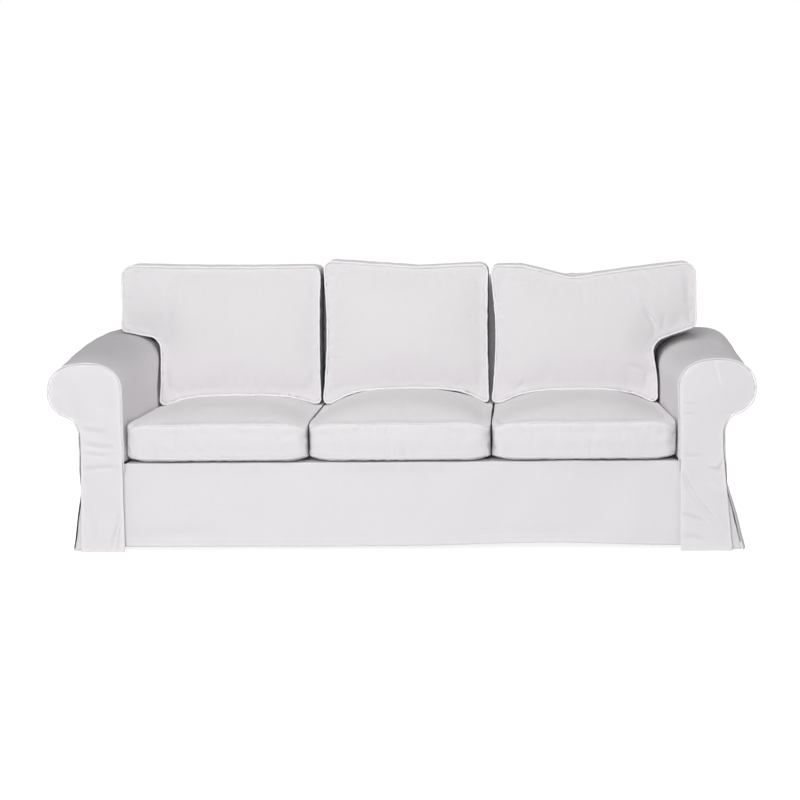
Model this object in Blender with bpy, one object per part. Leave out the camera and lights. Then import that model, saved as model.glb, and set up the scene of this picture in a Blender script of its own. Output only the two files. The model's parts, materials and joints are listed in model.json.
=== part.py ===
"""A fitted slipcover for a three-seat sofa with rolled arms, standing open and hollow as it hangs in use.

X runs to the right as seen from the front, Y to the back and Z up, in metres. The origin is on the
floor, under the middle of the cover. The fitted cover is sewn from flat panels of plain cotton, and the
three seat cushions and three back cushions are filled, boxed and piped. Each panel, each cushion and
each length of piping is its own solid.
"""

import math

import bpy
from mathutils import Matrix, Vector

# Cloth, piping and the gaps that keep the pieces apart
CLOTH = 0.002
SEAM_GAP = 0.0006
SEAM_SETBACK = 0.001
PIPING_RADIUS = 0.0027
PIPING_SIDES = 5
PIPING_OFFSET = PIPING_RADIUS + SEAM_GAP
PIPING_REACH = PIPING_OFFSET * math.sqrt(0.5) + PIPING_RADIUS

# The fitted shell
FRONT_Y = -0.436
REAR_Y = 0.4420
SKIRT_Y = -0.420
SKIRT_HALF_WIDTH = 0.860
SKIRT_HEM_Z = 0.014
SKIRT_RISE = {"x": 0.45, "width": 0.28, "height": 0.010}
SKIRT_SHARES = (0.0, 0.25, 0.5, 0.75, 0.9, 1.0)
SKIRT_COLUMNS = 28
DECK_Z = 0.273
DECK_LIP = 0.001
DECK_REAR_Y = 0.205
DECK_HALF_WIDTH = 0.849
DECK_COLUMNS = 4
BACK_HALF_WIDTH = 0.930
BACK_TOP_Z = 0.800
BACK_FOOT = (0.215, 0.283)
BACK_LEAN = 0.168
BACK_EDGE_RADIUS = 0.018
BACK_TOP_SAG = {"y": 0.37, "depth": 0.003, "at_seam": 0.001}
BACK_STATION = 0.83
BACK_LOW_ROW = 0.38
BACK_ROWS = (0.47, 0.52, 0.548, 0.572, 0.592, 0.606, 0.618, 0.634, 0.69)
BACK_SKIRT_ROWS = (0.40, 0.30, 0.18, 0.09, 0.0)
BACK_COLUMNS = {"inside": 10, "outside": 16}
BACK_SIDE_ROWS = (0.792, 0.72, 0.66)
BACK_SIDE_COLUMNS = 4

# The rolled arms. From front to rear each roll rises by the arm's rise and its outer side moves outwards,
# while its inner side comes in towards the seat by the toe. Halfway its top stands higher by the swell.
ROLL_POWER = 2.3
ROLL_SPLAY = 0.020
ROLL_NARROWING = 0.006
TOE_REACH = 0.6
TOE_POWER = 1.5
ROLL_ANGLES = (82, 66, 50, 34, 17, 0, -17, -34, -52, -70)
NECK_DROPS = (0.0025, 0.014, 0.032, 0.055)
INNER_WALL_Z = 0.35
ROLL_CLEARANCE = 0.004
ROLL_STATIONS = (0.0, 0.06, 0.25, 0.45, 0.65, 0.85, 1.0)
FACE_CROWN = 0.004
FACE_COLUMNS = {"front": 6, "back": 4}
STEM_ROWS = (0.31, 0.28, 0.25, 0.22, 0.19, 0.16, 0.13, 0.10, 0.07, 0.035, 0.0)
PIPING_END_Z = 0.25
ARMS = {
    "left": {
        "side": -1, "inner": 0.8535, "roll_x": 0.964, "roll_z": 0.500, "half_width": 0.1105,
        "half_height": 0.084, "stem_outer": 0.982, "hem_outer": 0.991, "side_hem": 1.019,
        "toe": 0.022, "rise": 0.044, "swell": 0.024,
    },
    "right": {
        "side": 1, "inner": 0.8535, "roll_x": 0.963, "roll_z": 0.497, "half_width": 0.1115,
        "half_height": 0.084, "stem_outer": 0.982, "hem_outer": 1.010, "side_hem": 1.046,
        "toe": 0.028, "rise": 0.028, "swell": -0.004,
    },
}

# The seat cushions, to the outside of their piping, with the left and right ends of front and rear
SEAT_FRONT_Y = -0.428
SEAT_REAR_Y = 0.190
SEAT_BASE_Z = 0.292
SEAT_EDGE_Z = 0.3965
SEAT_CORNER = 0.035
SEAT_SIDE_BOW = -0.002
SEAT_UNDER_CROWN = 0.012
SEATS = {
    "left": {"front": (-0.844, -0.280), "rear": (-0.822, -0.280), "crown": 0.040, "front_bow": 0.006},
    "middle": {"front": (-0.277, 0.281), "rear": (-0.277, 0.281), "crown": 0.061, "front_bow": 0.010},
    "right": {"front": (0.284, 0.843), "rear": (0.284, 0.812), "crown": 0.053, "front_bow": 0.008},
}

# The back cushions, to the outside of their piping. Each corner is x, height and radius, and the bow is
# how far the edge after that corner curves out (or in, if negative).
BACK_BASE_Z = 0.400
BACK_REAR_GAP = 0.017
BACK_THICKNESS_FOOT = 0.172
BACK_THICKNESS_TOP = 0.140
BACK_CROWN = 0.048
BACK_REAR_CROWN = 0.009
LIFT_HEIGHT = 0.17
LIFT_POWER = 1.5
LIFT_LOSS = 0.0055
CONTACT_Y = 0.02
BACKS = {
    "left": {
        "centre": (-0.56, 0.72),
        "corners": (
            (-0.827, 0.400, 0.014, 0.0), (-0.286, 0.400, 0.014, -0.004), (-0.291, 0.850, 0.030, -0.004),
            (-0.964, 0.860, 0.040, -0.003), (-0.958, 0.642, 0.022, 0.0), (-0.827, 0.616, 0.045, -0.002),
        ),
    },
    "middle": {
        "centre": (0.0, 0.64),
        "corners": (
            (-0.279, 0.400, 0.014, 0.0), (0.267, 0.400, 0.014, -0.004), (0.266, 0.852, 0.028, 0.0),
            (0.040, 0.843, 0.300, 0.0), (-0.281, 0.868, 0.028, -0.011),
        ),
    },
    "right": {
        "centre": (0.56, 0.72),
        "corners": (
            (0.277, 0.400, 0.014, 0.0), (0.818, 0.400, 0.014, 0.004), (0.802, 0.590, 0.050, 0.0),
            (0.947, 0.638, 0.022, 0.0), (0.948, 0.850, 0.036, 0.0), (0.740, 0.828, 0.300, 0.0),
            (0.538, 0.802, 0.110, 0.0), (0.385, 0.843, 0.080, 0.0), (0.275, 0.845, 0.026, -0.013),
        ),
    },
}

# How filled cloth is divided and rounded
CORNER_STEPS = 3
EDGE_STEP = 0.075
FACE_RINGS = (1.0, 0.95, 0.86, 0.72, 0.52, 0.27)
REAR_RINGS = (1.0, 0.84, 0.45)
CROWN_REACH = 0.046
EDGE_SAMPLES = 4
BAND_BULGE = 0.006

# Soft folds in the flat panels: each row is a panel, the fold's start and end (x, z), its half width and
# how far it stands out (or in, if negative)
FOLDS = (
    ("arm_front_right", (0.866, 0.249), (0.897, 0.177), 0.016, -0.007),
    ("arm_front_right", (0.897, 0.177), (0.985, 0.094), 0.018, -0.006),
    ("arm_front_right", (0.890, 0.234), (0.955, 0.159), 0.022, 0.006),
    ("arm_front_right", (0.858, 0.117), (0.915, 0.107), 0.014, -0.004),
    ("arm_front_right", (0.925, 0.259), (0.985, 0.309), 0.018, -0.005),
    ("arm_front_right", (0.860, 0.439), (0.915, 0.424), 0.018, -0.004),
    ("arm_front_right", (0.955, 0.584), (0.985, 0.509), 0.020, 0.004),
    ("arm_front_left", (-0.980, 0.394), (-0.900, 0.374), 0.016, -0.004),
    ("arm_front_left", (-0.985, 0.334), (-0.905, 0.324), 0.016, -0.005),
    ("arm_front_left", (-0.965, 0.309), (-0.865, 0.304), 0.014, 0.004),
    ("arm_front_left", (-0.980, 0.249), (-0.865, 0.254), 0.016, -0.004),
    ("arm_front_left", (-0.873, 0.000), (-0.860, 0.099), 0.012, 0.006),
    ("front_skirt", (-0.845, 0.020), (-0.600, 0.070), 0.030, -0.004),
    ("front_skirt", (-0.300, 0.020), (-0.250, 0.240), 0.060, 0.004),
    ("front_skirt", (0.300, 0.020), (0.330, 0.240), 0.060, -0.004),
    ("front_skirt", (0.700, 0.020), (0.720, 0.240), 0.050, 0.004),
)
SIDE_COLUMNS = 12
SIDE_PROUD = 0.003
SIDE_CORNER_TUCK = 0.006
SIDE_WAVES = 3
SIDE_WAVE_DEPTH = 0.007
BACK_WAVES = 4
BACK_WAVE_DEPTH = 0.004
BACK_WAVE_TOP_Z = 0.30

# Kick pleats behind the slits at the four corners
PLEAT_TOP_Z = 0.230
PLEAT_ROWS = (PLEAT_TOP_Z, 0.15, 0.075, 0.004)
PLEAT_WIDTH = 0.045
PLEAT_DEPTH = 0.060
PLEAT_GAP = 0.006
PLEAT_SETBACK = 0.012
PLEAT_SKEWS = {"inner": 0.004, "middle": 0.003, "end": 0.010}
SLIT_SETBACK = 0.006
FLARE_LOSS = 0.5
PLEAT_CORNERS = (("front_left", "left", -1), ("front_right", "right", -1),
                 ("back_left", "left", 1), ("back_right", "right", 1))


def cloth_material(name, colour, roughness):
    """A matt, non-metallic finish for one kind of cloth."""
    material = bpy.data.materials.new(name)
    material.use_nodes = True
    shader = material.node_tree.nodes["Principled BSDF"]
    shader.inputs["Base Color"].default_value = (*colour, 1.0)
    shader.inputs["Roughness"].default_value = roughness
    shader.inputs["Metallic"].default_value = 0.0
    return material


def add_object(name, points, faces, material):
    """One named mesh object in world metres, shaded smooth."""
    mesh = bpy.data.meshes.new(name)
    mesh.from_pydata([tuple(point) for point in points], [], faces)
    mesh.materials.append(material)
    mesh.shade_smooth()
    obj = bpy.data.objects.new(name, mesh)
    bpy.context.scene.collection.objects.link(obj)
    return obj


def add_sheet(name, rows, material):
    """A cloth panel through a grid of points, with its thickness laid half on each side."""
    across = len(rows[0])
    points = [point for row in rows for point in row]
    faces = []
    for j in range(len(rows) - 1):
        for i in range(across - 1):
            corner = j * across + i
            faces.append((corner, corner + 1, corner + across + 1, corner + across))
    obj = add_object(name, points, faces, material)
    thicken = obj.modifiers.new("cloth", "SOLIDIFY")
    thicken.thickness = CLOTH
    thicken.offset = 0.0
    return obj


def add_piping(name, path, outwards, closed, material):
    """A round cord sewn along an edge. Its section stands on the path, turned to the outward directions."""
    count = len(path)
    points = []
    for i, centre in enumerate(path):
        before = path[(i - 1) % count] if closed or i else path[i]
        after = path[(i + 1) % count] if closed or i < count - 1 else path[i]
        along = (after - before).normalized()
        out = (outwards[i] - along * outwards[i].dot(along)).normalized()
        up = along.cross(out)
        for k in range(PIPING_SIDES):
            turn = 2 * math.pi * (k + 0.5) / PIPING_SIDES
            points.append(centre + (out * math.cos(turn) + up * math.sin(turn)) * PIPING_RADIUS)
    faces = []
    for i in range(count if closed else count - 1):
        for k in range(PIPING_SIDES):
            near, far = i * PIPING_SIDES, (i + 1) % count * PIPING_SIDES
            following = (k + 1) % PIPING_SIDES
            faces.append((near + k, near + following, far + following, far + k))
    if not closed:
        faces.append(tuple(reversed(range(PIPING_SIDES))))
        faces.append(tuple(range((count - 1) * PIPING_SIDES, count * PIPING_SIDES)))
    return add_object(name, points, faces, material)


def fold_relief(panel, x, z):
    """How far a panel's own soft folds push it out at this place."""
    relief = 0.0
    here = Vector((x, z))
    for owner, start, end, half_width, height in FOLDS:
        if owner != panel:
            continue
        first, last = Vector(start), Vector(end)
        along = last - first
        place = max(0.0, min(1.0, (here - first).dot(along) / along.length_squared))
        distance = (here - first - along * place).length
        relief += height * math.exp(-((distance / half_width) ** 2))
    return relief


# ---- The rolled arms -------------------------------------------------------------------------------


def toe_in(arm, station):
    """How far the arm's inner side has come towards the seat, from the front (station 0) to the rear (1)."""
    return arm["toe"] * (1 - (1 - min(1.0, station / TOE_REACH)) ** TOE_POWER)


def roll_section(arm, station):
    """Centre x and z of the arm's roll, its half widths on the inner and outer side, and half its height."""
    half_swell = 0.5 * arm["swell"] * math.sin(math.pi * station)
    centre_x = arm["roll_x"] + ROLL_SPLAY * station
    shoulder = arm["roll_x"] - arm["half_width"] - toe_in(arm, station)
    return (
        centre_x,
        arm["roll_z"] + arm["rise"] * station + half_swell,
        centre_x - shoulder,
        arm["half_width"] - ROLL_NARROWING * station,
        arm["half_height"] + half_swell,
    )


def roll_reach(angle):
    """Across and up, as shares of the half sizes, of a point on the roll's rounded outline."""
    turn = math.radians(angle)
    across = math.cos(turn) ** (2 / ROLL_POWER)
    return across, math.copysign(abs(math.sin(turn)) ** (2 / ROLL_POWER), turn)


def inner_side(arm, station, z):
    """How far from the middle the arm's inner side stands at a height, up to the top of its roll."""
    centre_x, centre_z, inner_half, _, half_height = roll_section(arm, station)
    wall = arm["inner"] - toe_in(arm, station)
    if z <= centre_z:
        climb = max(0.0, (z - INNER_WALL_Z) / (centre_z - INNER_WALL_Z))
        return wall + (centre_x - inner_half - wall) * climb**2
    height = min(1.0, (z - centre_z) / half_height)
    return centre_x - inner_half * (1 - height**ROLL_POWER) ** (1 / ROLL_POWER)


def arm_rows(arm, station, lowest):
    """Rows (z, inner x, outer x) of the arm's outline from the top of the roll down to a height."""
    centre_x, centre_z, _, outer_half, half_height = roll_section(arm, station)
    rows = []
    for angle in ROLL_ANGLES:
        across, up = roll_reach(angle)
        z = centre_z + half_height * up
        rows.append((z, inner_side(arm, station, z), centre_x + outer_half * across))
    last_z, _, last_outer = rows[-1]
    stem_outer = arm["stem_outer"] + ROLL_SPLAY * station
    for drop in NECK_DROPS:
        z = last_z - drop
        share = (1 - drop / NECK_DROPS[-1]) ** 2
        rows.append((z, inner_side(arm, station, z), stem_outer + (last_outer - stem_outer) * share))
    for z in STEM_ROWS:
        if z >= lowest - 1e-6:
            hem_outer = arm["hem_outer"] + ROLL_SPLAY * station
            spread = 1 - z / STEM_ROWS[0]
            rows.append((z, inner_side(arm, station, z), stem_outer + (hem_outer - stem_outer) * spread))
    return rows


def arm_outline(rows):
    """The outline's points (x, z): up the inner side, over the roll and down the outer side."""
    inner = [(row[1], row[0]) for row in reversed(rows)]
    return inner + [(row[2], row[0]) for row in rows]


def outline_normals(points, closed):
    """The direction pointing out of a clockwise outline at each of its points (x, z)."""
    count = len(points)
    normals = []
    for i in range(count):
        before = Vector(points[(i - 1) % count if closed or i else i])
        after = Vector(points[(i + 1) % count if closed or i < count - 1 else i])
        along = (after - before).normalized()
        normals.append(Vector((-along.y, along.x)))
    return normals


def skirt_flare(arm, station, z):
    """How far the outer side's skirt flares out past the stem, most at the hem and at the front."""
    free = max(0.0, 1 - z / PLEAT_TOP_Z)
    return (arm["side_hem"] - arm["hem_outer"]) * free * (1 - FLARE_LOSS * station)


def build_arm_face(name, arm, y, station, columns, material):
    """The scroll-shaped panel that closes one end of an arm, from the roll's top down to the floor."""
    rows = []
    for z, inner, outer in arm_rows(arm, station, 0.0):
        row = []
        for i in range(columns + 1):
            x = arm["side"] * (inner + (outer - inner) * i / columns)
            climb = max(0.0, min(1.0, (z - INNER_WALL_Z) / (arm["roll_z"] - INNER_WALL_Z)))
            across = math.sin(math.pi * i / columns)
            held = across if z > PIPING_END_Z else 1.0
            out = FACE_CROWN * climb * across + fold_relief(name, x, z) * held
            row.append((x, y - out if y < 0 else y, z))
        rows.append(row)
    add_sheet(name, rows, material)


def build_arm(label, cloth, piping):
    """One arm: front and back faces, the cloth over the roll, the outer side and the front piping."""
    arm = ARMS[label]
    side = arm["side"]
    build_arm_face(f"arm_front_{label}", arm, FRONT_Y, 0.0, FACE_COLUMNS["front"], cloth)
    build_arm_face(f"arm_back_{label}", arm, REAR_Y - CLOTH, 1.0, FACE_COLUMNS["back"], cloth)

    roll_front = FRONT_Y + 0.5 * CLOTH + SEAM_GAP + SEAM_SETBACK
    roll_rear = REAR_Y - 1.5 * CLOTH - SEAM_GAP
    over_roll = []
    for station in ROLL_STATIONS:
        rows = arm_rows(arm, station, STEM_ROWS[1])
        shown = arm_outline(rows)[: -len(NECK_DROPS) - 2]
        y = roll_front + (roll_rear - roll_front) * station
        over_roll.append([(side * x, y, z) for x, z in shown])
    add_sheet(f"arm_roll_{label}", over_roll, cloth)

    neck = len(ROLL_ANGLES)
    side_rows = []
    front_rows = arm_rows(arm, 0.0, 0.0)
    for j in range(neck, len(front_rows)):
        row = []
        for k in range(SIDE_COLUMNS + 1):
            station = k / SIDE_COLUMNS
            z, _, outer = arm_rows(arm, station, 0.0)[j]
            free = max(0.0, 1 - z / PLEAT_TOP_Z)
            wave = SIDE_WAVE_DEPTH * free * math.sin(2 * math.pi * SIDE_WAVES * station)
            tuck = SIDE_CORNER_TUCK if station in (0.0, 1.0) and free else 0.0
            setback = SLIT_SETBACK if free and station == 0.0 else 0.0
            out = outer + SIDE_PROUD + skirt_flare(arm, station, z) + wave - tuck
            row.append((side * out, roll_front + setback + (roll_rear - roll_front) * station, z))
        side_rows.append(row)
    add_sheet(f"arm_side_{label}", side_rows, cloth)

    outline = arm_outline(arm_rows(arm, 0.0, PIPING_END_Z))
    normals = outline_normals(outline, closed=False)
    path, outwards = [], []
    for (x, z), normal in zip(outline, normals):
        out = Vector((side * normal.x, 0.0, normal.y))
        seam = Vector((side * x, FRONT_Y - 0.5 * SEAM_GAP, z))
        path.append(seam + out * (PIPING_OFFSET + 0.5 * CLOTH))
        outwards.append(out)
    add_piping(f"arm_piping_{label}", path, outwards, False, piping)


# ---- The seat rail, deck and back ------------------------------------------------------------------


def build_front_skirt(cloth):
    """The panel under the seat cushions, from the deck's front edge down to its hem."""
    rows = []
    top = DECK_Z - CLOTH - SEAM_GAP
    for share in SKIRT_SHARES:
        row = []
        for i in range(SKIRT_COLUMNS + 1):
            x = -SKIRT_HALF_WIDTH + 2 * SKIRT_HALF_WIDTH * i / SKIRT_COLUMNS
            rise = SKIRT_RISE["height"] * math.exp(-(((x - SKIRT_RISE["x"]) / SKIRT_RISE["width"]) ** 2))
            z = top + (SKIRT_HEM_Z + rise - top) * share
            row.append((x, SKIRT_Y - fold_relief("front_skirt", x, z), z))
        rows.append(row)
    add_sheet("front_skirt", rows, cloth)


def build_seat_deck(cloth):
    """The flat cloth that the seat cushions lie on, between the feet of the arms' inner sides."""
    rows = []
    for y in (SKIRT_Y - DECK_LIP, 0.5 * (SKIRT_Y + DECK_REAR_Y), DECK_REAR_Y - DECK_LIP):
        station = (y - FRONT_Y) / (REAR_Y - FRONT_Y)
        left, right = (arm["side"] * (DECK_HALF_WIDTH - toe_in(arm, station)) for arm in ARMS.values())
        rows.append([(left + (right - left) * i / DECK_COLUMNS, y, DECK_Z) for i in range(DECK_COLUMNS + 1)])
    add_sheet("seat_deck", rows, cloth)


def back_line(z):
    """How far back the leaning inside of the back lies at a height."""
    return BACK_FOOT[0] + BACK_LEAN * (z - BACK_FOOT[1])


def back_span(z, station):
    """The left and right ends of the back at a height: between the arms below, over their rolls above."""
    ends = []
    for arm in ARMS.values():
        reach = inner_side(arm, station, z - ROLL_CLEARANCE) - ROLL_CLEARANCE
        _, centre_z, _, _, half_height = roll_section(arm, station)
        over = z > centre_z + half_height + ROLL_CLEARANCE
        ends.append(arm["side"] * (BACK_HALF_WIDTH if over else min(BACK_HALF_WIDTH, reach)))
    return ends


def roll_height(arm, station, x):
    """The height of the roll's upper surface at a distance from the middle of the sofa."""
    centre_x, centre_z, inner_half, outer_half, half_height = roll_section(arm, station)
    across = min(1.0, abs(x - centre_x) / (inner_half if x < centre_x else outer_half))
    return centre_z + half_height * (1 - across**ROLL_POWER) ** (1 / ROLL_POWER)


def build_back(cloth):
    """The inside of the back with the strip over its top, the outside, and the two narrow sides."""
    turn_z = BACK_TOP_Z - BACK_EDGE_RADIUS
    profile = [(back_line(z), z) for z in (BACK_FOOT[1], BACK_LOW_ROW, *BACK_ROWS, turn_z)]
    turn_y = back_line(turn_z) + BACK_EDGE_RADIUS
    for angle in (45, 90):
        turn = math.radians(angle)
        y = turn_y - BACK_EDGE_RADIUS * math.cos(turn)
        profile.append((y, turn_z + BACK_EDGE_RADIUS * math.sin(turn)))
    seam_z = BACK_TOP_Z - BACK_TOP_SAG["at_seam"]
    profile += [(BACK_TOP_SAG["y"], BACK_TOP_Z - BACK_TOP_SAG["depth"]), (REAR_Y - CLOTH, seam_z)]
    rows = []
    columns = BACK_COLUMNS["inside"]
    for y, z in profile:
        left, right = back_span(z, BACK_STATION)
        rows.append([(left + (right - left) * i / columns, y, z) for i in range(columns + 1)])
    add_sheet("inside_back", rows, cloth)

    rows = []
    columns = BACK_COLUMNS["outside"]
    for z in (seam_z - CLOTH - SEAM_GAP, *reversed(BACK_ROWS), *BACK_SKIRT_ROWS):
        left, right = back_span(z, 1.0)
        free = max(0.0, 1 - z / BACK_WAVE_TOP_Z)
        row = []
        for i in range(columns + 1):
            share = i / columns
            wave = BACK_WAVE_DEPTH * free * math.sin(2 * math.pi * BACK_WAVES * share)
            row.append((left + (right - left) * share, REAR_Y - CLOTH + wave, z))
        rows.append(row)
    add_sheet("outside_back", rows, cloth)

    rear = REAR_Y - 2 * CLOTH
    for label, arm in ARMS.items():
        x = BACK_HALF_WIDTH + CLOTH
        foot = max(roll_height(arm, station, x) for station in (BACK_STATION, 1.0)) + ROLL_CLEARANCE
        rows = []
        columns = BACK_SIDE_COLUMNS
        for z in (*BACK_SIDE_ROWS, foot):
            front = back_line(z) + (BACK_EDGE_RADIUS if z > turn_z else CLOTH)
            depths = [front + (rear - front) * i / columns for i in range(columns + 1)]
            rows.append([(arm["side"] * x, y, z) for y in depths])
        add_sheet(f"back_side_{label}", rows, cloth)


def build_kick_pleats(cloth):
    """The folded strips behind the open slits at the corners of the skirt."""
    for name, label, end in PLEAT_CORNERS:
        arm = ARMS[label]
        station = 0.0 if end < 0 else 1.0
        rows = []
        for z in PLEAT_ROWS:
            flare = skirt_flare(arm, station, z)
            outer = arm["stem_outer"] + ROLL_SPLAY * station
            outer += (arm["hem_outer"] - arm["stem_outer"]) * (1 - z / STEM_ROWS[0]) + flare - PLEAT_GAP
            y = (FRONT_Y if end < 0 else REAR_Y) - end * PLEAT_SETBACK
            across = (
                (outer - PLEAT_WIDTH - flare, PLEAT_SKEWS["inner"]),
                (outer - 0.5 * PLEAT_WIDTH, 0.0),
                (outer, 0.0),
                (outer - PLEAT_SKEWS["middle"], 0.5 * PLEAT_DEPTH),
                (outer - PLEAT_SKEWS["end"], PLEAT_DEPTH),
            )
            rows.append([(arm["side"] * x, y - end * inwards, z) for x, inwards in across])
        add_sheet(f"pleat_{name}", rows, cloth)


# ---- Filled cushions -------------------------------------------------------------------------------


def fillet(before, corner, after, radius):
    """Points of the arc that rounds a corner, from the edge before it to the edge after it."""
    back, ahead = (before - corner).normalized(), (after - corner).normalized()
    half = math.acos(max(-1.0, min(1.0, back.dot(ahead)))) / 2
    centre = corner + (back + ahead).normalized() * (radius / math.sin(half))
    start = corner + back * (radius / math.tan(half)) - centre
    sweep = math.pi - 2 * half
    turning = 1 if back.x * ahead.y - back.y * ahead.x < 0 else -1
    arc = []
    for k in range(CORNER_STEPS + 1):
        arc.append(centre + Matrix.Rotation(turning * sweep * k / CORNER_STEPS, 2) @ start)
    return arc


def soft_outline(corners):
    """A closed anticlockwise outline with rounded corners and edges that bow, inset by the piping."""
    places = [Vector(corner[:2]) for corner in corners]
    count = len(places)
    arcs = [fillet(places[i - 1], places[i], places[(i + 1) % count], corners[i][2]) for i in range(count)]
    outline = []
    for i, arc in enumerate(arcs):
        outline += arc
        edge = arcs[(i + 1) % count][0] - arc[-1]
        out = Vector((edge.y, -edge.x)).normalized()
        parts = max(1, round(edge.length / EDGE_STEP))
        for k in range(1, parts):
            bow = corners[i][3] * math.sin(math.pi * k / parts)
            outline.append(arc[-1] + edge * (k / parts) + out * bow)
    normals = outline_normals([tuple(point) for point in outline], closed=True)
    return [point + normal * PIPING_REACH for point, normal in zip(outline, normals)]


def crown_share(point, outline):
    """The share of a cushion's full crown at a point: none at the seam, nearly all well inside it."""
    pull = 0.0
    for i, start in enumerate(outline):
        step = (outline[(i + 1) % len(outline)] - start) / EDGE_SAMPLES
        for k in range(EDGE_SAMPLES):
            distance = (point - start - step * (k + 0.5)).length
            pull += step.length * math.exp(-distance / CROWN_REACH)
    return max(0.0, 1 - pull / (2 * CROWN_REACH))


def build_cushion(name, outline, centre, place, crowns, cloth):
    """A filled box cushion. place(point, depth, rise) puts a point of the outline's plane in the world, at a
    share of the way from the cushion's face (0) to its back (1) and raised outwards by its crown."""
    middle = Vector(centre)
    count = len(outline)
    points, faces = [], []
    edges = []
    for depth, crown, rings in ((0.0, crowns[0], FACE_RINGS), (1.0, crowns[1], REAR_RINGS)):
        start = len(points)
        edges.append(start)
        for ring in rings:
            for point in outline:
                moved = middle + (point - middle) * ring
                rise = crown * crown_share(moved, outline) if ring < 1 else 0.0
                points.append(place(moved, depth, rise))
        points.append(place(middle, depth, crown * crown_share(middle, outline)))
        turn = -1 if depth else 1
        for r in range(len(rings) - 1):
            for i in range(count):
                after = (i + 1) % count
                near, far = start + r * count, start + (r + 1) * count
                faces.append((near + i, near + after, far + after, far + i)[::turn])
        last = start + (len(rings) - 1) * count
        for i in range(count):
            faces.append((last + i, last + (i + 1) % count, last + count)[::turn])

    normals = outline_normals([tuple(point) for point in outline], closed=True)
    band = len(points)
    for point, normal in zip(outline, normals):
        points.append(place(point - normal * BAND_BULGE, 0.5, 0.0))
    for i in range(count):
        after = (i + 1) % count
        faces.append((band + i, band + after, edges[0] + after, edges[0] + i))
        faces.append((edges[1] + i, edges[1] + after, band + after, band + i))
    return add_object(name, points, faces, cloth)


def build_edge_piping(name, outline, place, depth, piping):
    """Piping round one edge of a cushion, set on the corner between its face and its band."""
    edge = [place(point, depth, 0.0) for point in outline]
    normals = outline_normals([tuple(point) for point in outline], closed=True)
    count = len(edge)
    path, outwards = [], []
    for i in range(count):
        along = (edge[(i + 1) % count] - edge[i - 1]).normalized()
        face = place(outline[i], depth, CLOTH) - edge[i]
        side = place(outline[i] - normals[i] * CLOTH, depth, 0.0) - edge[i]
        face = (face - along * face.dot(along)).normalized()
        side = (side - along * side.dot(along) - face * side.dot(face)).normalized()
        outwards.append((face + side).normalized())
        path.append(edge[i] + outwards[i] * PIPING_OFFSET)
    add_piping(name, path, outwards, True, piping)


def seat_outline(seat):
    """A seat cushion's outline in plan, inside its piping."""
    return soft_outline((
        (seat["front"][0], SEAT_FRONT_Y, SEAT_CORNER, seat["front_bow"]),
        (seat["front"][1], SEAT_FRONT_Y, SEAT_CORNER, SEAT_SIDE_BOW),
        (seat["rear"][1], SEAT_REAR_Y, SEAT_CORNER, 0.0),
        (seat["rear"][0], SEAT_REAR_Y, SEAT_CORNER, SEAT_SIDE_BOW),
    ))


def build_seat_cushion(label, cloth, piping):
    """One filled seat cushion, lying on the deck, with the piping on its top and bottom edges."""
    seat = SEATS[label]
    outline = seat_outline(seat)

    def place(point, depth, rise):
        top, bottom = SEAT_EDGE_Z - PIPING_REACH, SEAT_BASE_Z + PIPING_REACH
        height = top + (bottom - top) * depth
        return Vector((point.x, point.y, height + (rise if depth < 0.5 else -rise)))

    centre = (sum(seat["front"] + seat["rear"]) / 4, (SEAT_FRONT_Y + SEAT_REAR_Y) / 2)
    crowns = (seat["crown"], SEAT_UNDER_CROWN)
    build_cushion(f"seat_cushion_{label}", outline, centre, place, crowns, cloth)
    build_edge_piping(f"seat_piping_top_{label}", outline, place, 0.0, piping)
    build_edge_piping(f"seat_piping_base_{label}", outline, place, 1.0, piping)


def seat_lift(x):
    """How far the crown of the seat cushion under this x lifts the foot of a back cushion resting on it."""
    for seat in SEATS.values():
        if seat["front"][0] < x < seat["front"][1]:
            crown = seat["crown"] * crown_share(Vector((x, CONTACT_Y)), seat_outline(seat))
            return max(0.0, crown - LIFT_LOSS)
    return 0.0


def build_back_cushion(label, cloth, piping):
    """One filled back cushion, leaning on the back with its foot on the seat cushion's crown."""
    back = BACKS[label]
    outline = soft_outline(back["corners"])

    def place(point, depth, rise):
        x, height = point
        climb = (height - BACK_BASE_Z) / (BACK_TOP_Z - BACK_BASE_Z)
        thickness = BACK_THICKNESS_FOOT + (BACK_THICKNESS_TOP - BACK_THICKNESS_FOOT) * climb
        forward = BACK_REAR_GAP + thickness * (1 - depth) + (rise if depth < 0.5 else -rise)
        fade = max(0.0, 1 - max(0.0, height - BACK_BASE_Z) / LIFT_HEIGHT) ** LIFT_POWER
        return Vector((x, back_line(height) - forward, height + seat_lift(x) * fade))

    crowns = (BACK_CROWN, BACK_REAR_CROWN)
    build_cushion(f"back_cushion_{label}", outline, back["centre"], place, crowns, cloth)
    build_edge_piping(f"back_piping_front_{label}", outline, place, 0.0, piping)
    build_edge_piping(f"back_piping_rear_{label}", outline, place, 1.0, piping)


for existing in list(bpy.data.objects):
    bpy.data.objects.remove(existing, do_unlink=True)

white_cotton = cloth_material("white_cotton", (0.80, 0.79, 0.81), 0.9)
white_piping = cloth_material("white_piping", (0.86, 0.85, 0.87), 0.85)

for arm_label in ARMS:
    build_arm(arm_label, white_cotton, white_piping)
build_front_skirt(white_cotton)
build_seat_deck(white_cotton)
build_back(white_cotton)
build_kick_pleats(white_cotton)
for cushion_label in SEATS:
    build_seat_cushion(cushion_label, white_cotton, white_piping)
    build_back_cushion(cushion_label, white_cotton, white_piping)
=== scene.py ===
"""The looks of a fitted white slipcover for a wide sofa with rolled arms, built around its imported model.

Metres, with X to the right as seen from the front, Y to the back, Z up and the floor at zero. The sections
follow the cover as it is put on: the fitted shell first, then its pleats and piping, then the seat and
back cushions, and last the stitching that runs over all of them.
"""

import json
import math

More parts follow.
